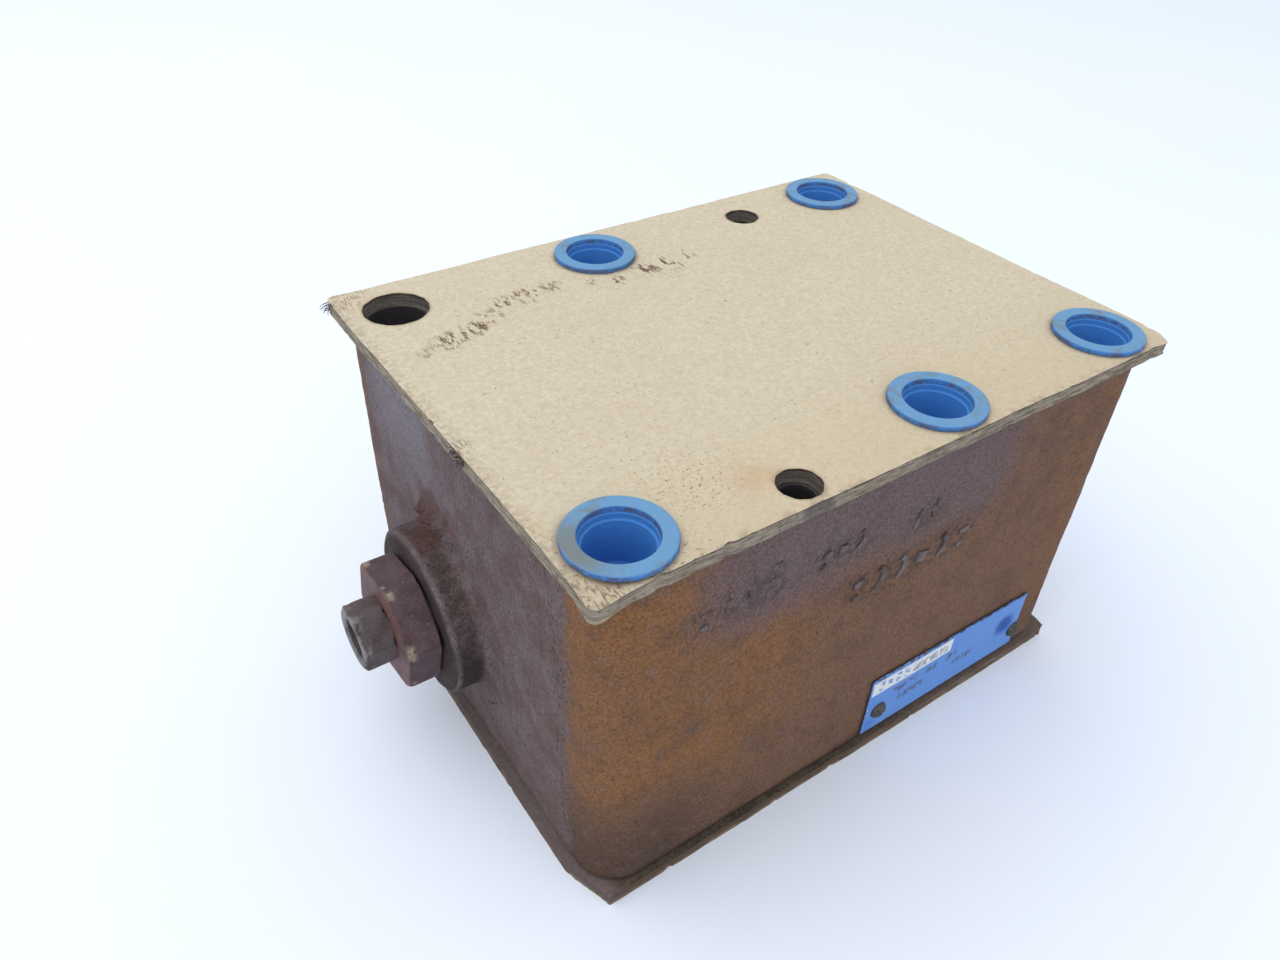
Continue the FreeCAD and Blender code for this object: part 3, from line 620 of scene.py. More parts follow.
def cap_plastic():
    """Blue moulded polyethylene: dusty scuffed flange, clean cup, rust-brown dirt at the mouth."""
    look = Look("cap_plastic", specular=0.2)
    facing_z = look.upward()
    dust = look.noise(3.5, 4, 0.6, shift=15)
    grain = look.noise(0.6, 3, shift=2)
    face = UPPER_FACE + FLANGE_THICK
    flange = look.times(look.step(look.z, face - 0.5, face - 0.1), look.step(facing_z, 0.3, 0.9))
    colour = look.mix(look.step(dust, 0.3, 0.7, 0.0, 0.35), CAP_BLUE, (0.075, 0.270, 0.600))
    wall = look.step(look.z, face - 4.0, face - 1.0)
    colour = look.tint(colour, (0.060, 0.205, 0.520), wall, 0.55)
    colour = look.mix(flange, colour, CAP_DUSTY)
    olive = look.times(look.step(dust, 0.46, 0.66), look.step(look.noise(9, 2, shift=25), 0.40, 0.60))
    grubby = (CAP_PLACES[0].x - 9.0, CAP_PLACES[0].y + 1.0, face)
    left_side = look.near(grubby, 6.5, 5.0, look.times(look.add(dust, -0.5), 9.0))
    olive = look.math("MAXIMUM", olive, look.times(left_side, 1.2))
    colour = look.tint(colour, (0.165, 0.195, 0.195), look.times(olive, flange), 0.8)
    border = look.step(look.z, face - 0.25, face - 0.75)
    border = look.times(border, look.step(look.z, face - 1.5, face - 1.0))
    dirt = look.times(border, look.step(grain, 0.44, 0.56))
    colour = look.tint(colour, (0.050, 0.045, 0.045), dirt, 0.4)
    pale = look.times(look.step(grain, 0.60, 0.75), flange)
    colour = look.tint(colour, (0.36, 0.48, 0.60), pale, 0.25)
    mouth = look.times(look.between(look.z, face - 1.1, face - 0.25, 0.3), look.step(dust, 0.44, 0.56))
    inside = look.step(look.math("ABSOLUTE", facing_z), 0.9, 0.5)
    colour = look.tint(colour, (0.10, 0.060, 0.045), look.times(mouth, inside), 0.6)
    rough = look.step(dust, 0.2, 0.8, 0.50, 0.75)
    relief = look.bump(grain, 0.03, 0.6)
    relief = look.bump(dust, 0.05, 0.4, relief)
    return look.finish(colour, rough, relief)


PLATE_LOW, PLATE_HIGH = box_mm("nameplate")
PLATE_BLUE = (0.088, 0.232, 0.590)
PLATE_DENT = Vector((DRIVE_SCREWS[1][0] - 5.2, DRIVE_SCREWS[1][1] + 4.4))
# Rows of worn stamp marks: (lower edge, from, to, strength)
STAMP_ROWS = [
    (10.4, 8.5, 17.0, 0.95), (10.5, 20.5, 24.5, 0.95),
    (10.7, 27.0, 31.5, 0.95), (6.6, 11.0, 20.5, 0.95), (7.0, 31.0, 39.5, 0.95),
]


def plate_paint():
    """Blue paint with a pale strip of plain bars and two rows of worn stamp marks."""
    look = Look("plate_paint", specular=0.35)
    across = look.add(look.x, -PLATE_LOW.x)
    up = look.add(look.z, -PLATE_LOW.z)
    shade = look.noise(7, 3)
    grain = look.noise(0.5, 3, shift=6)
    worn = look.noise(0.9, 3, shift=64)
    colour = look.mix(shade, PLATE_BLUE, (0.108, 0.262, 0.620))

    strip = look.times(look.between(across, 0.5, 28.4, 0.2), look.between(up, 14.2, 18.9, 0.2))
    colour = look.mix(strip, colour, look.mix(worn, (0.60, 0.63, 0.66), (0.74, 0.75, 0.74)))
    blocks = look.step(look.math("SINE", look.times(across, 2.2)), -0.35, -0.15)
    halves = look.step(look.math("SINE", look.add(look.times(up, 2.4), look.times(across, 0.9))), -0.5, -0.2)
    inner = look.times(look.between(across, 2.0, 13.0, 0.2), look.between(up, 14.9, 18.2, 0.2))
    letters = look.times(look.times(blocks, halves), look.times(inner, look.step(worn, 0.36, 0.46)))
    colour = look.tint(colour, (0.13, 0.22, 0.50), letters, 0.9)
    grey_row = look.times(look.between(across, 14.2, 27.0, 0.3), look.between(up, 14.9, 17.6, 0.4))
    grey = look.step(look.noise(0.9, 2, stretch=(1, 1, 2.2), shift=19), 0.42, 0.56)
    colour = look.tint(colour, (0.24, 0.24, 0.27), look.times(grey, grey_row), 0.85)
    for low, left, right, strength in STAMP_ROWS:
        row = look.times(look.between(across, left, right, 0.8), look.between(up, low, low + 2.2, 0.5))
        dash = look.step(look.noise(1.1, 2, stretch=(1, 1, 1.6), shift=low + left), 0.41, 0.53)
        colour = look.tint(colour, (0.066, 0.092, 0.185), look.times(row, dash), strength)
    # Painted shade in the dent by the right screw, deep blue
    dent = (PLATE_DENT.x, PLATE_LOW.y, PLATE_DENT.y)
    dent_shade = look.near(dent, 3.3, 1.5, look.times(look.add(worn, -0.5), 0.8))
    colour = look.tint(colour, (0.006, 0.070, 0.330), dent_shade, 0.97)
    # Darker blue by the left screw, at the plate's lower left
    by_left_screw = (PLATE_LOW.x + 2.2, PLATE_LOW.y, PLATE_LOW.z + 3.0)
    darker_by_left_screw = look.near(by_left_screw, 2.2, 1.6, look.times(look.add(shade, -0.5), 3.0))
    colour = look.tint(colour, (0.030, 0.130, 0.480), darker_by_left_screw, 0.45)
    chips = look.step(worn, 0.56, 0.64)
    margin = look.math("MAXIMUM", look.step(up, 19.0, 19.9), look.step(across, 0.9, 0.1))
    colour = look.tint(colour, (0.46, 0.44, 0.40), chips, look.step(margin, 0.0, 1.0, 0.0, 0.9))
    upper_line = look.times(look.step(up, 18.9, 19.3), look.step(look.noise(1.6, 3, shift=33), 0.48, 0.56))
    colour = look.tint(colour, (0.060, 0.045, 0.050), upper_line, 0.8)
    colour = look.tint(colour, (0.30, 0.28, 0.26), look.step(worn, 0.68, 0.74), 0.6)
    # Painted shadow: the plate's edges turn near black where they come close to the body
    back = look.step(look.y, BODY_FRONT - 0.40, BODY_FRONT - 0.25)
    colour = look.mix(back, colour, (0.045, 0.035, 0.032))

    rough = look.step(grain, 0.2, 0.8, 0.42, 0.66)
    relief = look.bump(look.noise(3.0, 3, shift=8), 0.08, 0.6)
    relief = look.bump(grain, 0.03, 0.6, relief)
    return look.finish(colour, rough, relief)


def painted_steel(name, main, second, worn, wear_r, face_x, line):
    """Dull painted hexagon steel, chipped at its far corners and worn along its outer edge."""
    look = Look(name, specular=0.3)
    patch = look.noise(4, 4)
    grain = look.noise(0.45, 3, 0.65, shift=12)
    chip = look.noise(2.4, 3, shift=31)
    colour = look.mix(look.step(patch, 0.30, 0.70), main, second)
    out = look.from_bore()
    at_edge = look.step(look.x, face_x + 2.4, face_x + 1.0)
    wear = look.times(look.step(out, wear_r - 1.0, wear_r - 0.3), look.step(chip, 0.44, 0.54))
    colour = look.tint(colour, worn, look.times(wear, at_edge), 0.9)
    face = look.times(look.step(look.x, face_x + 0.55, face_x + 0.25), look.step(patch, 0.30, 0.55))
    colour = look.tint(colour, line, face, 0.75)
    colour = look.tint(colour, (0.34, 0.32, 0.31), look.step(look.noise(1.1, 2, shift=44), 0.70, 0.76), 0.6)
    speckle = look.mix(look.step(grain, 0.25, 0.75), (0.66, 0.66, 0.66), (1.34, 1.34, 1.34))
    colour = look.mix(0.8, colour, speckle, "MULTIPLY")
    rough = look.step(grain, 0.2, 0.8, 0.50, 0.76)
    relief = look.bump(look.noise(1.8, 3, shift=21), 0.06, 0.6)
    relief = look.bump(grain, 0.05, 0.7, relief)
    return look.finish(colour, rough, relief)


def metal(name, dark, pale, rough_low, rough_high, grain_size=0.5, stretch=(8, 1, 1)):
    """Bare or darkened steel with fine drawn or turned marks and stains."""
    look = Look(name, metallic=0.9)
    stain = look.noise(4, 4)
    marks = look.noise(grain_size, 3, 0.6, stretch=stretch, shift=9)
    colour = look.mix(stain, dark, pale)
    colour = look.tint(colour, dark, look.step(marks, 0.5, 0.75), 0.4)
    rough = look.step(marks, 0.2, 0.8, rough_low, rough_high)
    relief = look.bump(marks, 0.02, 0.7)
    return look.finish(colour, rough, relief)


def rubber():
    """Black nitrile with a faint oily bloom and moulding grain."""
    look = Look("seal_rubber", specular=0.4)
    bloom = look.noise(2.5, 4)
    grain = look.noise(0.4, 3, shift=3)
    colour = look.mix(bloom, (0.012, 0.012, 0.013), (0.035, 0.034, 0.033))
    rough = look.step(bloom, 0.2, 0.8, 0.38, 0.62)
    return look.finish(colour, rough, look.bump(grain, 0.02, 0.6))


# ---------------------------------------------------------------- casting

def plan_outline(inset):
    """The body's plan as [(x, y, outward x, outward y)], a rounded rectangle set in by a depth."""
    arcs = []
    for side, end, start in ((1, -1, -90), (1, 1, 0), (-1, 1, 90), (-1, -1, 180)):
        r = FRONT_CORNER_R if end < 0 else REAR_CORNER_R
        x = BODY_RIGHT - r if side > 0 else BODY_LEFT + r
        y = BODY_REAR - r if end > 0 else BODY_FRONT + r
        steps = round(TURN / 4 * FRONT_CORNER_R / SKIN_STEP)
        arc = []
        for k in range(steps + 1):
            angle = math.radians(start + 90 * k / steps)
            nx, ny = math.cos(angle), math.sin(angle)
            arc.append((x + nx * (r - inset), y + ny * (r - inset), nx, ny))
        arcs.append(arc)
    points = []
    for arc, after in zip(arcs, arcs[1:] + arcs[:1]):
        points += arc
        x, y, nx, ny = arc[-1]
        run = Vector((after[0][0] - x, after[0][1] - y))
        steps = round(run.length / SKIN_STEP)
        points += [(x + run.x * k / steps, y + run.y * k / steps, nx, ny) for k in range(1, steps)]
    return points


def wall_rows():
    """The side wall's section as [(inset, height, outward part, upward part)] from foot to top."""
    rows = []
    for k in range(5):
        angle = math.radians(-90 + 22.5 * k)
        out, up = math.cos(angle), math.sin(angle)
        rows.append((BODY_LOWER_ROUND * (1 - out), BODY_BOTTOM + BODY_LOWER_ROUND * (1 + up), out, up))
    low, high = BODY_BOTTOM + BODY_LOWER_ROUND, BODY_TOP - BODY_UPPER_ROUND
    steps = round((high - low) / SKIN_STEP)
    rows += [(0.0, low + (high - low) * k / steps, 1.0, 0.0) for k in range(1, steps + 1)]
    for k in range(1, 4):
        angle = math.radians(30 * k)
        out, up = math.cos(angle), math.sin(angle)
        rows.append((BODY_UPPER_ROUND * (1 - out), high + BODY_UPPER_ROUND * up, out, up))
    return rows


def boss_profile():
    """The boss from the left face to inside its own face as [(radius, x, outward, along -x)]."""
    face, left = BOSS_FACE, BODY_LEFT
    points = [(BOSS_PATCH_R - 1.6, left, 0.0, 1.0), (BOSS_R + BOSS_ROOT_ROUND, left, 0.0, 1.0)]
    for k in range(1, 5):
        angle = math.radians(22.5 * k)
        out, along = math.sin(angle), math.cos(angle)
        radius = BOSS_R + BOSS_ROOT_ROUND * (1 - out)
        points.append((radius, left - BOSS_ROOT_ROUND * (1 - along), out, along))
    side_end = face + BOSS_RIM_ROUND
    side_start = left - BOSS_ROOT_ROUND
    points += [(BOSS_R, side_start + (side_end - side_start) * k / 5, 1.0, 0.0) for k in range(1, 6)]
    for k in range(1, 5):
        angle = math.radians(22.5 * k)
        out, along = math.cos(angle), math.sin(angle)
        points.append((BOSS_R - BOSS_RIM_ROUND * (1 - out), side_end - BOSS_RIM_ROUND * along, out, along))
    inner = BOSS_R - BOSS_RIM_ROUND
    points += [(inner + (BOSS_FACE_INNER_R - inner) * k / 6, face, 0.0, 1.0) for k in range(1, 7)]
    return points


# Flash and lumps on the left face, mostly over the boss: (y, z, spread, height)
LEFT_FACE_LUMPS = [
    (20.5, 59.5, 2.2, 2.8), (15.0, 61.5, 1.9, 4.2), (10.5, 62.0, 1.7, 3.6), (6.5, 61.2, 1.5, 2.2),
]


def cast_relief(point, facing):
    """Height of the sand-cast skin over its nominal face, in millimetres."""
    height = 0.26 * noise_at(point, 24, 1) + 0.13 * noise_at(point, 7, 2) + 0.085 * noise_at(point, 2.4, 3)
    pit = noise_at(point, 3.4, 4)
    height -= 0.9 * max(pit - 0.42, 0.0)
    if facing.x < -0.2:
        for y, z, spread, tall in LEFT_FACE_LUMPS:
            gap = ((point.y - y) ** 2 + (point.z - z) ** 2) / spread**2
            height += tall * math.exp(-gap) * (0.75 + 0.5 * noise_at(point, 2.0, 5))
    if facing.y < -0.8:
        in_x = smoothstep(PLATE_LOW.x - 3, PLATE_LOW.x, point.x)
        in_x *= smoothstep(PLATE_HIGH.x + 3, PLATE_HIGH.x, point.x)
        in_z = smoothstep(PLATE_HIGH.z + 3, PLATE_HIGH.z, point.z)
        height = height * (1 - in_x * in_z) - 0.12 * in_x * in_z
    return height


def is_inside(point, edges):
    """Is a point inside the closed lines that these edges make up?"""
    crossed = 0
    for a, b in edges:
        if (a.y > point.y) != (b.y > point.y):
            crossed += a.x + (point.y - a.y) / (b.y - a.y) * (b.x - a.x) > point.x
    return crossed % 2 == 1


def fill_flat_yz(bm, test):
    """Fills between the open edges, flat across X, that pass a test on their place."""
    edges = [e for e in bm.edges if len(e.link_faces) == 1 and all(test(v.co) for v in e.verts)]
    verts = list({v for e in edges for v in e.verts})
    number = {v: k for k, v in enumerate(verts)}
    pairs = [tuple(number[v] for v in e.verts) for e in edges]
    places = [v.co.yz for v in verts]
    lines = [(places[a], places[b]) for a, b in pairs]
    flat, _, faces, sources, _, _ = geometry.delaunay_2d_cdt(places, pairs, [], 0, 1e-5)
    for face in faces:
        middle = (flat[face[0]] + flat[face[1]] + flat[face[2]]) / 3
        corners = [verts[sources[k][0]] for k in face]
        if is_inside(middle, lines) and not bm.faces.get(corners):
            bm.faces.new(corners)


def from_outline(x, y):
    """Depth under the body's plan outline, and the outward direction there."""
    across = x - (BODY_LEFT + BODY_RIGHT) / 2
    back = y - (BODY_FRONT + BODY_REAR) / 2
    over = Vector((abs(across) - (BODY_RIGHT - BODY_LEFT) / 2, abs(back) - (BODY_REAR - BODY_FRONT) / 2))
    radius = REAR_CORNER_R if back > 0 else FRONT_CORNER_R
    corner = over + Vector((radius, radius))
    if corner.x > 0 and corner.y > 0:
        out = corner.normalized()
        depth = radius - corner.length
    else:
        out = Vector((1, 0)) if over.x > over.y else Vector((0, 1))
        depth = -max(over)
    return depth, Vector((math.copysign(out.x, across), math.copysign(out.y, back), 0))


def is_outer(face):
    """Is a CAD face part of the rough skin, or of a drive screw's hole?"""
    place, facing = face.calc_center_median(), face.normal
    if place.x < BODY_LEFT + 0.02:
        return facing.x < -0.5 or facing.y * (place.y - BORE_Y) + facing.z * (place.z - BORE_Z) > 0
    if any(place.y < BODY_FRONT + 3 and math.hypot(place.x - x, place.z - z) < 1.4 for x, z in DRIVE_SCREWS):
        return True
    depth, out = from_outline(place.x, place.y)
    return depth < 1.6 and facing.dot(out) > 0.05


def keep_inner_walls(bm):
    """Leaves the flat ends, bores, ports and holes of the CAD body, and takes its plain skin away."""
    bmesh.ops.delete(bm, geom=[f for f in bm.faces if is_outer(f)], context="FACES")
    bmesh.ops.delete(bm, geom=[v for v in bm.verts if not v.link_faces], context="VERTS")


def wall_skin(bm):
    """The rough wall round the body, left open where the boss stands."""
    skin, rings = [], []
    rows = wall_rows()
    for number, (inset, height, out, up) in enumerate(rows):
        ring = []
        for x, y, nx, ny in plan_outline(inset):
            vert = bm.verts.new((x, y, height))
            facing = Vector((nx * out, ny * out, up))
            share = smoothstep(0, 5, number) * smoothstep(len(rows) - 1, len(rows) - 5, number)
            skin.append((vert, facing, share))
            ring.append(vert)
        rings.append(ring)

    def under_boss(vert):
        on_face = abs(vert.co.x - BODY_LEFT) < 0.01
        return on_face and math.hypot(vert.co.y - BORE_Y, vert.co.z - BORE_Z) < BOSS_PATCH_R

    for low, high in zip(rings, rings[1:]):
        count = len(low)
        for i in range(count):
            corners = (low[i], low[(i + 1) % count], high[(i + 1) % count], high[i])
            if not any(under_boss(v) for v in corners):
                bm.faces.new(corners)
    return skin


def boss_skin(bm):
    """The rough boss, from the left face round its rim to its end face."""
    skin, last = [], None
    profile = boss_profile()
    for number, (radius, x, out, along) in enumerate(profile):
        ring = []
        for k in range(BOSS_STEPS):
            angle = TURN * k / BOSS_STEPS
            c, s = math.cos(angle), math.sin(angle)
            vert = bm.verts.new((x, BORE_Y + radius * c, BORE_Z + radius * s))
            share = smoothstep(len(profile) - 1, len(profile) - 6, number)
            skin.append((vert, Vector((-along, out * c, out * s)), share))
            ring.append(vert)
        if last:
            join_rings(bm, last, ring)
        last = ring
    return skin


def body_skin(bm):
    """The rough outer wall and the boss, as [(vertex, outward direction, share of the relief)]."""
    skin = wall_skin(bm) + boss_skin(bm)
    loose = [v for v in bm.verts if not v.link_faces]
    gone = set(loose)
    skin = [entry for entry in skin if entry[0] not in gone]
    bmesh.ops.delete(bm, geom=loose, context="VERTS")

    def rim_of_patch(co):
        radius = math.hypot(co.y - BORE_Y, co.z - BORE_Z)
        return abs(co.x - BODY_LEFT) < 0.01 and BOSS_PATCH_R - 2 < radius < BOSS_PATCH_R + 2.5

    fill_flat_yz(bm, rim_of_patch)
    return skin


def casting(skin_look, flat_look, shaded_bore_look):
    """Rough skin outside, with the CAD body's own machined faces and bores inside it."""
    bm = bmesh.new()
    bm.from_mesh(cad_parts["valve_body"].data)
    bmesh.ops.scale(bm, vec=(1 / MM,) * 3, verts=bm.verts)
    bmesh.ops.remove_doubles(bm, verts=bm.verts, dist=0.002)
    bm.normal_update()
    keep_inner_walls(bm)
    for face in bm.faces:
        height = face.calc_center_median().z
        at_end = height > BODY_TOP - 0.02 or height < BODY_BOTTOM + 0.02
        face.material_index = 1 if at_end else 2
    skin = body_skin(bm)
    fill_flat_yz(bm, lambda co: abs(co.x - BOSS_FACE) < 0.01)
    for vert, facing, share in skin:
        if share > 0:
            vert.co += facing * cast_relief(vert.co, facing) * share
    bmesh.ops.recalc_face_normals(bm, faces=bm.faces)
    looks = [skin_look, flat_look, shaded_bore_look]
    finish_piece(bm, "valve_casting", "valve", looks, ["valve_body"], 50)


# Worn marks in a unit cell as [(width, points)], plain bars, arcs and lumps, no letter or figure
WORN_MARKS = [
    [(0.22, [(0.35, 0.05), (0.50, 0.95)])],
    [(0.24, [(0.15, 0.68), (0.80, 0.74)]), (0.24, [(0.30, 0.15), (0.65, 0.20)])],
    [(0.52, [(0.42, 0.32), (0.50, 0.70)])],
    [(0.24, [(0.30, 0.92), (0.66, 0.74), (0.66, 0.34), (0.36, 0.12)])],
    [(0.40, [(0.35, 0.22), (0.50, 0.26)]), (0.40, [(0.40, 0.76), (0.58, 0.80)])],
]


def stroke(bm, points, width, tall):
    """A low rounded ridge along a line of (x, z) points on the front face."""
    path = [Vector(p) for p in points]
    rings = []
    for i, point in enumerate(path):
        ahead = path[min(i + 1, len(path) - 1)] - path[max(i - 1, 0)]
        side = Vector((-ahead.y, ahead.x)).normalized()
        ends = 0.55 if i in (0, len(path) - 1) else 1.0
        ring = []
        for k in range(8):
            angle = TURN * k / 8
            place = point + side * math.cos(angle) * width / 2 * ends
            worn = 0.8 + 0.4 * noise_at((point.x, 0, point.y), 2.0, 9)
            ring.append((place.x, BODY_FRONT + 0.1 - math.sin(angle) * tall * ends * worn, place.y))
        rings.append(ring_of(bm, ring))
    for first, second in zip(rings, rings[1:]):
        join_rings(bm, first, second)
    bm.faces.new(rings[0])
    bm.faces.new(rings[-1])


def smooth_line(points):
    """More points along a line, rounded at its corners."""
    path = [Vector(p) for p in points]
    for _ in range(2):
        finer = [path[0]]
        for a, b in zip(path, path[1:]):
            finer += [a.lerp(b, 0.25), a.lerp(b, 0.75)]
        path = finer + [path[-1]]
    return path


def mark_metal():
    """Raised marks rubbed back to grey, dark at their roots: grime, and painted shade in the crease where they
    meet the face.
    """
    look = Look("cast_marks", specular=0.25)
    grain = look.noise(0.6, 3, shift=51)
    patch = look.noise(3.0, 3, shift=57)
    colour = look.mix(look.step(patch, 0.40, 0.60), (0.088, 0.060, 0.054), (0.145, 0.118, 0.118))
    # Grime and painted crease shade at the roots of the marks, next to the face
    root_grime_and_shade = look.step(look.y, BODY_FRONT - 0.35, BODY_FRONT - 0.05, 0.0, 0.8)
    colour = look.mix(root_grime_and_shade, colour, (0.034, 0.026, 0.024))
    return look.finish(colour, look.step(grain, 0.2, 0.8, 0.60, 0.85), look.bump(grain, 0.12, 0.8))


def cast_marks(look):
    """Rows of worn raised strokes on the front that stand for the casting's own marks."""
    bm = bmesh.new()
    for start, height, tall, count, slope, seed in MARK_ROWS:
        draw = random.Random(seed)
        for number in range(count):
            left = start + number * tall * MARK_PITCH
            low = height + (left - start) * slope
            for width, line in draw.choice(WORN_MARKS):
                points = [(left + (u + 0.2 * v) * tall * 0.66, low + v * tall) for u, v in line]
                stroke(bm, smooth_line(points), width * tall, 0.75)
    bmesh.ops.recalc_face_normals(bm, faces=bm.faces)
    finish_piece(bm, "cast_marks", "valve", [look])


# ---------------------------------------------------------------- cover boards

def board_outline(low, high, corner_r, seed, chips=()):
    """A board's edge as a closed line of points, wavy and nicked, never outside its box.

    Chips, each (side, along x, along y), take front corners off along a slanting line; the side
    is -1 for the left corner and 1 for the right.
    """
    r = corner_r
    corners = [
        (high.x - r, low.y + r, -90), (high.x - r, high.y - r, 0),
        (low.x + r, high.y - r, 90), (low.x + r, low.y + r, 180),
    ]
    dense = []
    for number, (x, y, start) in enumerate(corners):
        for k in range(6):
            angle = math.radians(start + 90 * k / 5)
            n = Vector((math.cos(angle), math.sin(angle)))
            dense.append((Vector((x, y)) + n * r, n))
        x2, y2, _ = corners[(number + 1) % 4]
        run = Vector((x2 - x, y2 - y))
        begin, n = dense[-1]
        steps = round(run.length / 0.8)
        dense += [(begin + run * k / steps, n) for k in range(1, steps)]
    points = []
    for place, n in dense:
        p = (place.x, place.y, seed * 10.0)
        wave = 0.22 + 0.22 * noise_at(p, 17, seed) + 0.10 * noise_at(p, 4, seed + 3)
        nick = 1.1 * max(noise_at(p, 2.6, seed + 1) - 0.30, 0)
        point = place - n * (max(wave, 0) + nick)
        for side, along_x, along_y in chips:
            from_side = point.x - low.x if side < 0 else high.x - point.x
            share = from_side / along_x + (point.y - low.y) / along_y
            slope = Vector((-side / along_x, 1 / along_y))
            ragged = 0.06 * noise_at(p, 1.6, seed + 2)
            if share < 1:
                point = point + slope / slope.length_squared * (1 - share + ragged)
        points.append(point)
    return points


def board_mesh(outline, holes, seed):
    """Triangles of a board's face: (points, triangles) in plan."""
    points, edges = [], []

    def add_loop(loop):
        first = len(points)
        points.extend(loop)
        edges.extend((first + k, first + (k + 1) % len(loop)) for k in range(len(loop)))

    add_loop(outline)
    for centre, radius in holes:
        steps = max(28, round(TURN * radius / 0.75))
        ring = []
        for k in range(steps):
            angle = TURN * k / steps
            out = Vector((math.cos(angle), math.sin(angle)))
            r = radius + 0.10 * noise_at((out.x * radius, out.y * radius, centre.x), 1.6, seed)
            ring.append(centre + out * r)
        add_loop(ring)
    low = Vector((min(p.x for p in outline), min(p.y for p in outline)))
    high = Vector((max(p.x for p in outline), max(p.y for p in outline)))
    columns = int((high.x - low.x) / BOARD_STEP)
    rows = int((high.y - low.y) / BOARD_STEP)
    draw = random.Random(seed)
    for i in range(1, columns):
        for j in range(1, rows):
            x = low.x + (high.x - low.x) * i / columns + draw.uniform(-0.3, 0.3)
            y = low.y + (high.y - low.y) * j / rows + draw.uniform(-0.3, 0.3)
            inside = min(x - low.x, high.x - x, y - low.y, high.y - y) > 2.6
            if inside and all((Vector((x, y)) - c).length > r + 0.8 for c, r in holes):
                points.append(Vector((x, y)))
    found = geometry.delaunay_2d_cdt(points, edges, [], 1, 1e-5)
    flat, faces = found[0], found[2]
    kept = []
    for face in faces:
        middle = (flat[face[0]] + flat[face[1]] + flat[face[2]]) / 3
        if all((middle - c).length > r - 0.15 for c, r in holes):
            kept.append(face)
    return flat, kept


def border_edges(faces):
    count = {}
    for face in faces:
        for k in range(3):
            edge = (face[k], face[(k + 1) % 3])
            count[frozenset(edge)] = None if frozenset(edge) in count else edge
    return [edge for edge in count.values() if edge]


def board(name, node, body, look, holes, corner_r, seed, lift, chips=()):
    """A fibre board: its face from board_mesh, layered frayed edges, and lift(x, y) on top."""
    low, high = box_mm(node)
    outline = board_outline(low, high, corner_r, seed, chips)
    flat, faces = board_mesh(outline, holes, seed)
    bm = bmesh.new()
    top = [bm.verts.new((p.x, p.y, high.z + lift(p.x, p.y)[1])) for p in flat]
    base = [bm.verts.new((p.x, p.y, low.z + lift(p.x, p.y)[0])) for p in flat]
    for a, b, c in faces:
        bm.faces.new((top[a], top[b], top[c]))
        bm.faces.new((base[c], base[b], base[a]))
    columns = {}
    borders = border_edges(faces)
    outward = {}
    for a, b in borders:
        run = flat[b] - flat[a]
        n = Vector((run.y, -run.x)).normalized()
        for k in (a, b):
            outward[k] = outward.get(k, Vector((0, 0))) + n
    for k, n in outward.items():
        n.normalize()
        column = [base[k]]
        for layer in range(1, BOARD_LAYERS):
            t = layer / BOARD_LAYERS
            place = base[k].co.lerp(top[k].co, t)
            fray = 0.22 * noise_at((place.x, place.y, layer * 5.0), 1.4, seed + 5) - 0.22
            place += Vector((n.x, n.y, 0)) * fray
            column.append(bm.verts.new(place))
        column.append(top[k])
        columns[k] = column
    for a, b in borders:
        for layer in range(BOARD_LAYERS):
            bm.faces.new((columns[a][layer], columns[b][layer], columns[b][layer + 1], columns[a][layer + 1]))
    bmesh.ops.recalc_face_normals(bm, faces=bm.faces)
    return finish_piece(bm, name, body, [look], [node], 40)


UPPER_LOW, UPPER_HIGH = box_mm("top_cover_board")
LOWER_LOW, LOWER_HIGH = box_mm("bottom_cover_board")


def top_board_lift(x, y):
    """How far the upper board's lower and upper face stray from flat, in millimetres."""
    low, high = UPPER_LOW, UPPER_HIGH
    warp = 0.10 * noise_at((x, y, 0), 34, 31) - 0.08
    skin = 0.04 * noise_at((x, y, 4), 2.2, 32)
    from_corner = math.hypot(x - low.x, y - low.y)
    crush = smoothstep(17, 3, from_corner)
    angle = math.atan2(y - low.y, x - low.x)
    crease = noise_at((angle * 9, from_corner / 5, 0), 1.0, 33)
    upper = warp + skin - crush * (0.45 + 0.45 * abs(crease))
    lower = -1.4 * smoothstep(7.5, 1.0, from_corner)
    upper += 0.45 * lower
    far = smoothstep(9, 2, math.hypot(x - low.x, y - high.y))
    upper += far * (0.15 + 0.45 * noise_at((x, y, 2), 1.7, 34))
    right = smoothstep(9, 2, math.hypot(x - high.x, y - low.y))
    upper -= right * 0.35
    return lower, min(upper, 0.35)


def lower_board_lift(x, y):
    low, high = LOWER_LOW, LOWER_HIGH
    upper = 0.05 * noise_at((x, y, 0), 3.0, 41) - 0.05
    right = smoothstep(7, 1, math.hypot(x - high.x, y - low.y))
    return 0.0, upper + right * 0.6


def fibres(look):
    """Loose curled fibres torn out of the upper board's edges."""
    low = UPPER_LOW
    draw = random.Random(17)
    places = [(low.x + 0.4, -11.0, 14, 4.4), (low.x + 0.5, -8.0, 8, 3.0), (low.x + 0.6, 56.5, 9, 3.0)]
    bm = bmesh.new()
    for x, y, count, length in places:
        for _ in range(count):
            aside = Vector((draw.uniform(-0.1, 0.5), draw.uniform(-1.4, 1.4), draw.uniform(0.6, 3.0)))
            start = Vector((x, y, low.z)) + aside
            heading = Vector((-1, draw.uniform(-0.8, 0.8), draw.uniform(-0.7, 0.4))).normalized()
            curl = Vector((draw.uniform(-1, 1), draw.uniform(-1, 1), draw.uniform(-1.2, 0.4)))
            strand(bm, start, heading, curl, length * draw.uniform(0.5, 1.0), draw.uniform(0.12, 0.24))
    bmesh.ops.recalc_face_normals(bm, faces=bm.faces)
    finish_piece(bm, "board_fibres", "top_cover", [look])


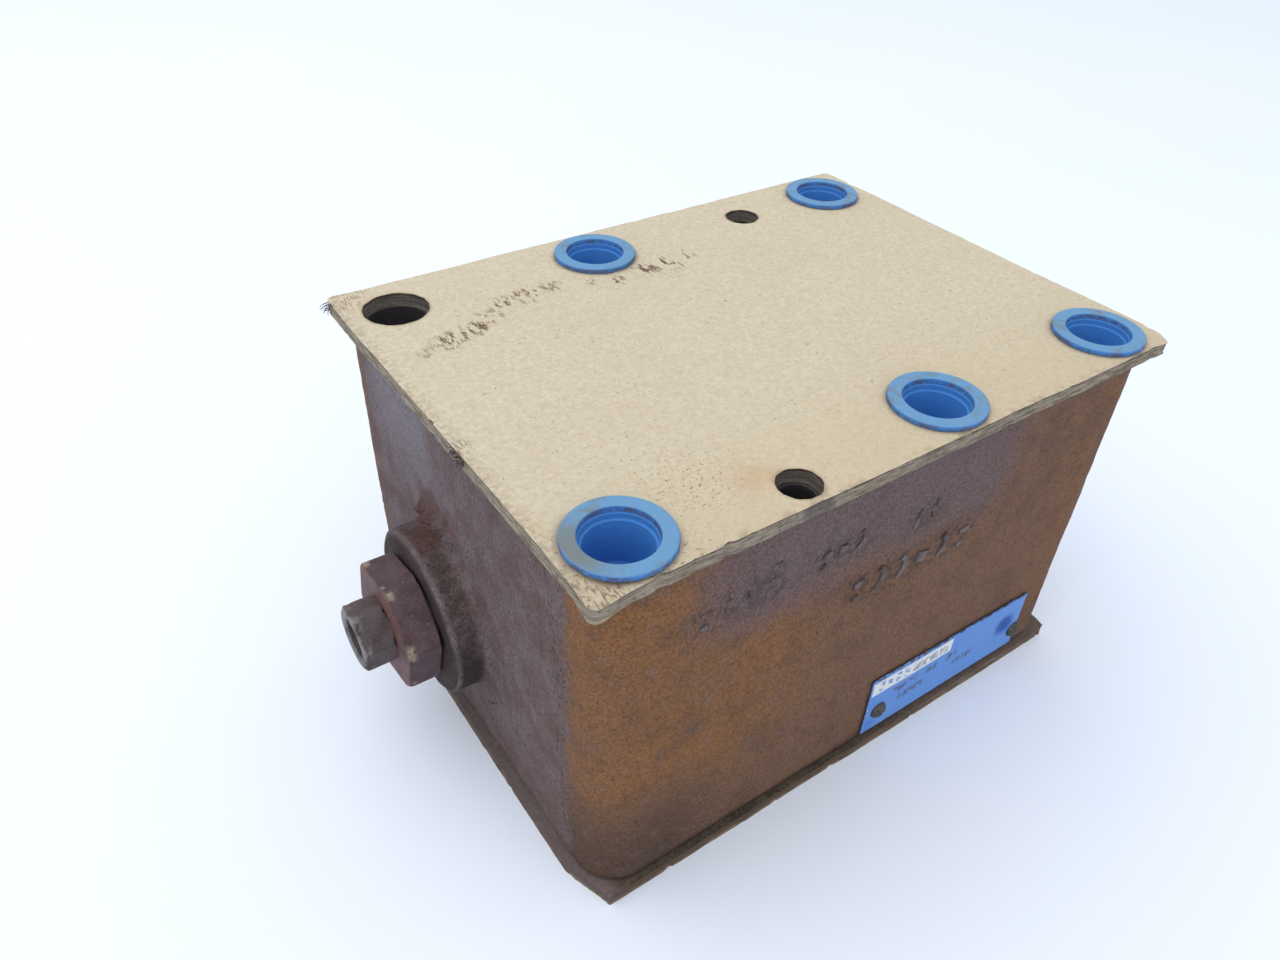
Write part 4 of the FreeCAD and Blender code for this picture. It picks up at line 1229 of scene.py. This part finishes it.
def strand(bm, start, heading, curl, length, radius):
    """One fibre: a tapering tube that curls as it goes."""
    steps = 8
    place, rings = start.copy(), []
    for k in range(steps + 1):
        side = heading.orthogonal().normalized()
        other = heading.cross(side).normalized()
        r = radius * (1 - 0.75 * k / steps)
        angles = [TURN * k / 5 for k in range(5)]
        rings.append(ring_of(bm, [place + (side * math.cos(a) + other * math.sin(a)) * r for a in angles]))
        place = place + heading * length / steps
        heading = (heading + curl * 0.22).normalized()
    for first, second in zip(rings, rings[1:]):
        join_rings(bm, first, second)
    bm.faces.new(rings[0])
    bm.faces.new(rings[-1])


# ---------------------------------------------------------------- caps

FLANGE_R = 10.2
LOWER_FLANGE_R = 8.8
FLANGE_THICK = 1.3
MOUTH_R = 7.2
LEDGE_R = 6.9
LEDGE_DEPTH = 2.5
CUP_TOP_R = 6.35
CUP_FLOOR_R = 6.0
CUP_FLOOR_THICK = 1.4
BARREL_R = 6.85
BARREL_END_R = 6.6


def cap_profile(flange_r, depth):
    """A push-in cap's section as (radius, depth under the flange's face), outside to inside."""
    points = [
        (0.0, depth), (BARREL_END_R, depth), (BARREL_R, depth - 3.0),
        (BARREL_R, FLANGE_THICK), (flange_r, FLANGE_THICK), (flange_r, 0.0), (MOUTH_R, 0.0),
        (LEDGE_R, LEDGE_DEPTH), (CUP_TOP_R, LEDGE_DEPTH + 0.1),
        (CUP_FLOOR_R, depth - CUP_FLOOR_THICK), (0.0, depth - CUP_FLOOR_THICK),
    ]
    return rounded(points, [0.5, 1.0, 0.2, 0.25, 0.4, 0.25, 0.12, 0.12, 0.5])


def cap(name, place, face, sign, profile, body, look, replaced):
    """A cap whose flange face is at a height and whose cup goes down for sign 1, up for -1."""
    bm = bmesh.new()
    seed = place.x + place.y * 3.1 + sign

    def out_of_round(angle, _, depth):
        return 0.05 * noise_at((math.cos(angle) * 9, math.sin(angle) * 9, depth + seed), 6, 51)

    lathe(bm, profile, lambda a, b, depth: (place.x + a, place.y + b, face - sign * depth), 112, out_of_round)
    bmesh.ops.recalc_face_normals(bm, faces=bm.faces)
    finish_piece(bm, name, body, [look], replaced, 50)


def all_caps(look):
    for name, place in zip(CAPS, CAP_PLACES):
        node = "top_cap_" + name
        low, high = box_mm(node)
        profile = cap_profile(FLANGE_R, high.z - low.z)
        cap(node + "_moulded", place, high.z, 1, profile, node, look, [node])
    low, high = box_mm("bottom_cover_caps")
    profile = cap_profile(LOWER_FLANGE_R, high.z - low.z)
    for name in LOWER_CAPS:
        place = CAP_PLACES[CAPS.index(name)]
        cap("lower_cap_" + name, place, low.z, -1, profile, "valve", look, ["bottom_cover_caps"])


# ---------------------------------------------------------------- nameplate

def nameplate(look):
    """A thin, slightly crooked plate with rolled and nicked edges and a dent by its right screw."""
    low, high = PLATE_LOW, PLATE_HIGH
    columns, rows = 110, 40

    def face_y(x, z):
        wave = 0.09 * noise_at((x, 0, z), 13, 61)
        hollow = 0.35 * math.exp(-(Vector((x, z)) - PLATE_DENT).length_squared / 4.0)
        edge = min(x - low.x, high.x - x, z - low.z, high.z - z)
        return low.y + 0.09 + wave + hollow + 0.14 * smoothstep(0.9, 0.0, edge)

    def edge_nick(value, seed):
        return 0.25 * max(noise_at((value, seed, 0), 1.4, 62) + 0.1, 0)

    bm = bmesh.new()
    front, back = [], []
    for j in range(rows + 1):
        line, rear = [], []
        for i in range(columns + 1):
            s, t = i / columns, j / rows
            left, right = low.x + edge_nick(t * 20, 1), high.x - edge_nick(t * 20, 2)
            foot = low.z + 0.2 * s + edge_nick(s * 57, 3)
            top = high.z - 0.9 * s - 1.5 * edge_nick(s * 57, 4)
            x, z = left + (right - left) * s, foot + (top - foot) * t
            line.append(bm.verts.new((x, face_y(x, z), z)))
            rear.append(bm.verts.new((x, BODY_FRONT - 0.04, z)))
        front.append(line)
        back.append(rear)
    for sheet in (front, back):
        for a, b in zip(sheet, sheet[1:]):
            join_rings(bm, a, b, closed=False)
    for a, b in ((front[0], back[0]), (front[-1], back[-1])):
        join_rings(bm, a, b, closed=False)
    for side in (0, -1):
        join_rings(bm, [line[side] for line in front], [line[side] for line in back], closed=False)
    bmesh.ops.recalc_face_normals(bm, faces=bm.faces)
    finish_piece(bm, "painted_plate", "valve", [look], ["nameplate"], 50)


def drive_screws(look):
    """Domed drive screws, hammered slightly flat, each with a worn slot across its head."""
    front = box_mm("nameplate_drive_screws")[0].y
    profile = [
        (0.0, 0.06), (0.4, 0.05), (0.8, 0.08), (1.2, 0.17), (1.6, 0.34), (2.0, 0.62), (2.25, 0.92),
        (2.38, 1.2), (2.4, 1.38), (1.2, 1.42), (1.2, 3.6), (0.0, 3.8),
    ]
    bm = bmesh.new()
    for number, (x, z) in enumerate(DRIVE_SCREWS):
        turn = 0.9 + 1.3 * number

        def place(a, b, depth):
            aside = a * math.cos(turn) + b * math.sin(turn)
            along = b * math.cos(turn) - a * math.sin(turn)
            slot = 0.45 * smoothstep(0.42, 0.16, abs(aside)) * smoothstep(2.1, 1.7, abs(along))
            nick = 0.35 * smoothstep(0.4, 0.2, abs(along)) * smoothstep(0.0, 0.3, aside)
            sunk = max(slot, nick) if depth < 1.0 else 0.0
            return (x + a, front + depth + sunk, z + b)

        lathe(bm, profile, place, 56, lambda angle, r, depth: head_wear(angle, r, depth + number))
    bmesh.ops.recalc_face_normals(bm, faces=bm.faces)
    finish_piece(bm, "drive_screws", "valve", [look], ["nameplate_drive_screws"], 45)


def head_wear(angle, radius, seed):
    return 0.09 * noise_at((math.cos(angle) * radius, math.sin(angle) * radius, seed), 1.3, 71)


# ---------------------------------------------------------------- adjuster

HEX_TURN = math.radians(-12.6)


def hexagon_radius(angle, half_flats):
    """The outline of a hexagon with barely worn corners, which lie at HEX_TURN from +Y."""
    from_flat = (angle - HEX_TURN) % (TURN / 6) - TURN / 12
    return min(half_flats / math.cos(from_flat), half_flats * 1.146)


def bore_ring(bm, radius, x, steps):
    """A circle round the main bore's axis, in step with the hexagon's corners."""
    angles = [HEX_TURN + TURN * k / steps for k in range(steps)]
    return ring_of(bm, [(x, BORE_Y + radius * math.cos(a), BORE_Z + radius * math.sin(a)) for a in angles])


def hexagon_part(bm, half_flats, x_out, x_in, chamfer_r, bore_profile, chips, seed):
    """A hexagon along X with both ends chamfered; its outer end runs in along bore_profile."""
    steps = 240
    length = x_in - x_out
    ends = [0.0, 0.12, 0.3, 0.55, 0.9, 1.4, 2.0, 3.0]
    between = [3.0 + (length - 6.0) * k / 4 for k in range(1, 4)]
    stations = ends + between + [length - s for s in reversed(ends)]
    rings = []
    for along in stations:
        points = []
        end = min(along, length - along)
        cone = chamfer_r + end * 1.9
        by_face = smoothstep(2.6, 0.6, along)
        for k in range(steps):
            angle = HEX_TURN + TURN * k / steps
            r = min(hexagon_radius(angle, half_flats), cone)
            bite = noise_at((along, math.cos(angle) * half_flats, math.sin(angle) * half_flats), 1.9, seed)
            corner = smoothstep(half_flats * 1.09, half_flats * 1.14, r)
            r -= chips * max(bite - 0.05, 0) * corner * by_face + 0.02 * bite
            points.append((x_out + along, BORE_Y + r * math.cos(angle), BORE_Z + r * math.sin(angle)))
        rings.append(ring_of(bm, points))
    for first, second in zip(rings, rings[1:]):
        join_rings(bm, first, second)
    last_rings = {}
    for which, x_end, radii in ((0, x_out, bore_profile[0]), (-1, x_in, bore_profile[1])):
        last = rings[which]
        for radius, depth in radii:
            if radius < 1e-6:
                fan(bm, last, (x_end + depth, BORE_Y, BORE_Z))
                break
            ring = bore_ring(bm, radius, x_end + depth, steps)
            join_rings(bm, last, ring)
            last = ring
        last_rings[which] = last
    return last_rings


def bonnet(look):
    """The plug that closes the spring chamber: 27 mm hexagon, collar and threaded neck."""
    low, high = box_mm("bonnet_plug")
    hex_end = low.x + 7.7
    bm = bmesh.new()
    bore = 4.75
    neck = [(12.0, 0.0), (12.0, BOSS_FACE - hex_end), (10.95, BOSS_FACE - hex_end + 0.05)]
    neck += [(10.95, high.x - hex_end - 1.0), (10.2, high.x - hex_end)]
    face = [(11.6, 0.0), (9.0, 0.0), (6.2, 0.0), (bore + 0.5, 0.0), (bore, 0.5), (bore, 8.0)]
    ends = hexagon_part(bm, 13.5, low.x, hex_end, 14.9, (face, neck), 1.3, 81)
    last = ends[-1]
    inner = [(7.2, high.x), (7.2, high.x - 12.0), (bore, high.x - 12.5)]
    steps = len(last)
    for radius, x in inner:
        ring = bore_ring(bm, radius, x, steps)
        join_rings(bm, last, ring)
        last = ring
    join_rings(bm, last, ends[0])
    bmesh.ops.recalc_face_normals(bm, faces=bm.faces)
    finish_piece(bm, "bonnet_hexagon", "valve", [look], ["bonnet_plug"], 35)


def lock_nut(look):
    """The small nut: 14 mm hexagon with a bright chamfer ring round its open bore."""
    low, high = box_mm("lock_nut")
    bm = bmesh.new()
    bore = 4.76
    outer = [(6.55, 0.0), (5.6, 0.0), (5.25, 0.05), (bore, 0.55)]
    inner = [(6.5, 0.03), (5.3, 0.0), (bore, -0.5)]
    ends = hexagon_part(bm, 7.0, low.x, high.x, 7.05, (outer, inner), 0.5, 85)
    join_rings(bm, ends[0], ends[-1])
    bmesh.ops.recalc_face_normals(bm, faces=bm.faces)
    finish_piece(bm, "lock_nut_hexagon", "lock_nut", [look], ["lock_nut"], 35)


# ---------------------------------------------------------------- springs


def spring(node, body, look):
    """A coil spring, taken over from its CAD node as a piece that rides on a body."""
    bm = bmesh.new()
    bm.from_mesh(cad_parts[node].data)
    bmesh.ops.scale(bm, vec=(1 / MM,) * 3, verts=bm.verts)
    coils = finish_piece(bm, node + "_coils", body, [look], [node], 50)
    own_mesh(coils)


# ---------------------------------------------------------------- the model

def carried_over(looks):
    """Materials for the CAD nodes that stay as they are."""
    for node, look in looks.items():
        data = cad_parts[node].data
        data.materials.clear()
        data.materials.append(look)


def build_model():
    upper, lower = hardboard("hardboard_upper", True), hardboard("hardboard_lower", False)
    blue = cap_plastic()
    hexagon_face, nut_face = box_mm("bonnet_plug")[0].x, box_mm("lock_nut")[0].x
    bonnet_look = painted_steel(
        "bonnet_steel", (0.074, 0.043, 0.048), (0.108, 0.070, 0.080), (0.32, 0.27, 0.20), 15.2,
        hexagon_face, (0.150, 0.066, 0.056),
    )
    nut_look = painted_steel(
        "nut_steel", (0.066, 0.048, 0.048), (0.105, 0.082, 0.086), (0.170, 0.155, 0.150), 7.9,
        nut_face, (0.22, 0.22, 0.22),
    )
    dark = metal("dark_steel", (0.060, 0.054, 0.050), (0.130, 0.118, 0.110), 0.38, 0.60)
    ground = metal("ground_steel", (0.42, 0.42, 0.41), (0.62, 0.62, 0.60), 0.16, 0.34, 0.3, (1, 1, 1))
    wire = metal("spring_wire", (0.20, 0.20, 0.20), (0.38, 0.38, 0.38), 0.28, 0.45, 0.4, (1, 3, 3))
    seal = rubber()

    casting(cast_skin(), machined_iron(), shaded_bore_iron())
    cast_marks(mark_metal())
    bolt_holes = [(place, BOLT_HOLE_R) for place in CAP_PLACES] + [(OPEN_BOLT_HOLE, BOLT_HOLE_R)]
    upper_holes = bolt_holes + [(place, PIN_HOLE_R) for place in PIN_HOLES]
    board(
        "upper_board", "top_cover_board", "top_cover", upper,
        upper_holes, 1.8, 3, top_board_lift, UPPER_CHIPS,
    )
    board(
        "lower_board", "bottom_cover_board", "valve", lower,
        bolt_holes, 0.4, 6, lower_board_lift, LOWER_CHIPS,
    )
    fibres(lower)
    all_caps(blue)
    nameplate(plate_paint())
    drive_screws(dark)
    bonnet(bonnet_look)
    lock_nut(nut_look)
    spring("main_spring", "valve", wire)
    spring("pilot_spring", "spring_guide", wire)
    carried_over({
        "adjusting_screw": dark, "spring_guide": ground, "pilot_poppet": ground, "pilot_seat": ground,
        "main_spool": ground, "damping_orifice": dark, "locating_pins": ground, "bonnet_o_ring": seal,
        "spring_guide_o_ring": seal, "pilot_seat_o_ring": seal, "main_port_o_rings": seal,
        "pilot_port_o_rings": seal,
    })


# ---------------------------------------------------------------- studio

def studio_floor():
    """A pale paper floor, wide enough for every view."""
    look = Look("paper_floor", specular=0.15)
    tooth = look.noise(1.5, 3)
    cloud = look.noise(220, 2)
    colour = look.mix(cloud, (0.815, 0.880, 1.0), (0.855, 0.910, 1.0))
    rough = look.step(tooth, 0.2, 0.8, 0.85, 0.95)
    material = look.finish(colour, rough, look.bump(tooth, 0.02, 0.4))
    bm = bmesh.new()
    bmesh.ops.create_grid(bm, x_segments=2, y_segments=2, size=4.0)
    mesh = bpy.data.meshes.new("floor")
    bm.to_mesh(mesh)
    bm.free()
    mesh.materials.append(material)
    floor = bpy.data.objects.new("floor", mesh)
    bpy.context.scene.collection.objects.link(floor)
    floor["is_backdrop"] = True


def area_light(name, place, aim, size, power, colour):
    data = bpy.data.lights.new(name, "AREA")
    data.shape = "RECTANGLE"
    data.size, data.size_y = size
    data.energy = power
    data.color = colour
    light = bpy.data.objects.new(name, data)
    light.location = place
    light.rotation_euler = (Vector(aim) - Vector(place)).to_track_quat("-Z", "Y").to_euler()
    bpy.context.scene.collection.objects.link(light)


def studio_light():
    world = bpy.data.worlds.new("pale_room")
    world.use_nodes = True
    background = world.node_tree.nodes["Background"]
    background.inputs["Color"].default_value = (0.905, 0.940, 1.0, 1.0)
    background.inputs["Strength"].default_value = 0.92
    bpy.context.scene.world = world
    area_light("key", (-0.45, 0.30, 1.25), (0, 0, 0.04), (1.5, 1.5), 8.0, (1.0, 0.975, 0.94))
    area_light("fill", (-0.60, -1.10, 0.70), (0, 0, 0.05), (1.2, 0.9), 2.6, (1.0, 0.965, 0.94))
    scene = bpy.context.scene
    scene.view_settings.view_transform = "Standard"
    scene.view_settings.look = "None"


def camera():
    """The viewpoint: from the front left, looking down at about 39 degrees."""
    data = bpy.data.cameras.new("camera")
    data.sensor_width = 36.0
    data.lens = 27.183
    data.clip_start = 0.01
    eye = bpy.data.objects.new("camera", data)
    eye.location = (-0.13216, -0.14478, 0.20466)
    eye.rotation_euler = [math.radians(a) for a in (51.3818, -1.7859, -34.2515)]
    bpy.context.scene.collection.objects.link(eye)
    bpy.context.scene.camera = eye


build_model()
studio_floor()
studio_light()
camera()

boxes = {"cad": cad_box, "visual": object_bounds()}
{key: [list(corner) for corner in box] for key, box in boxes.items()}
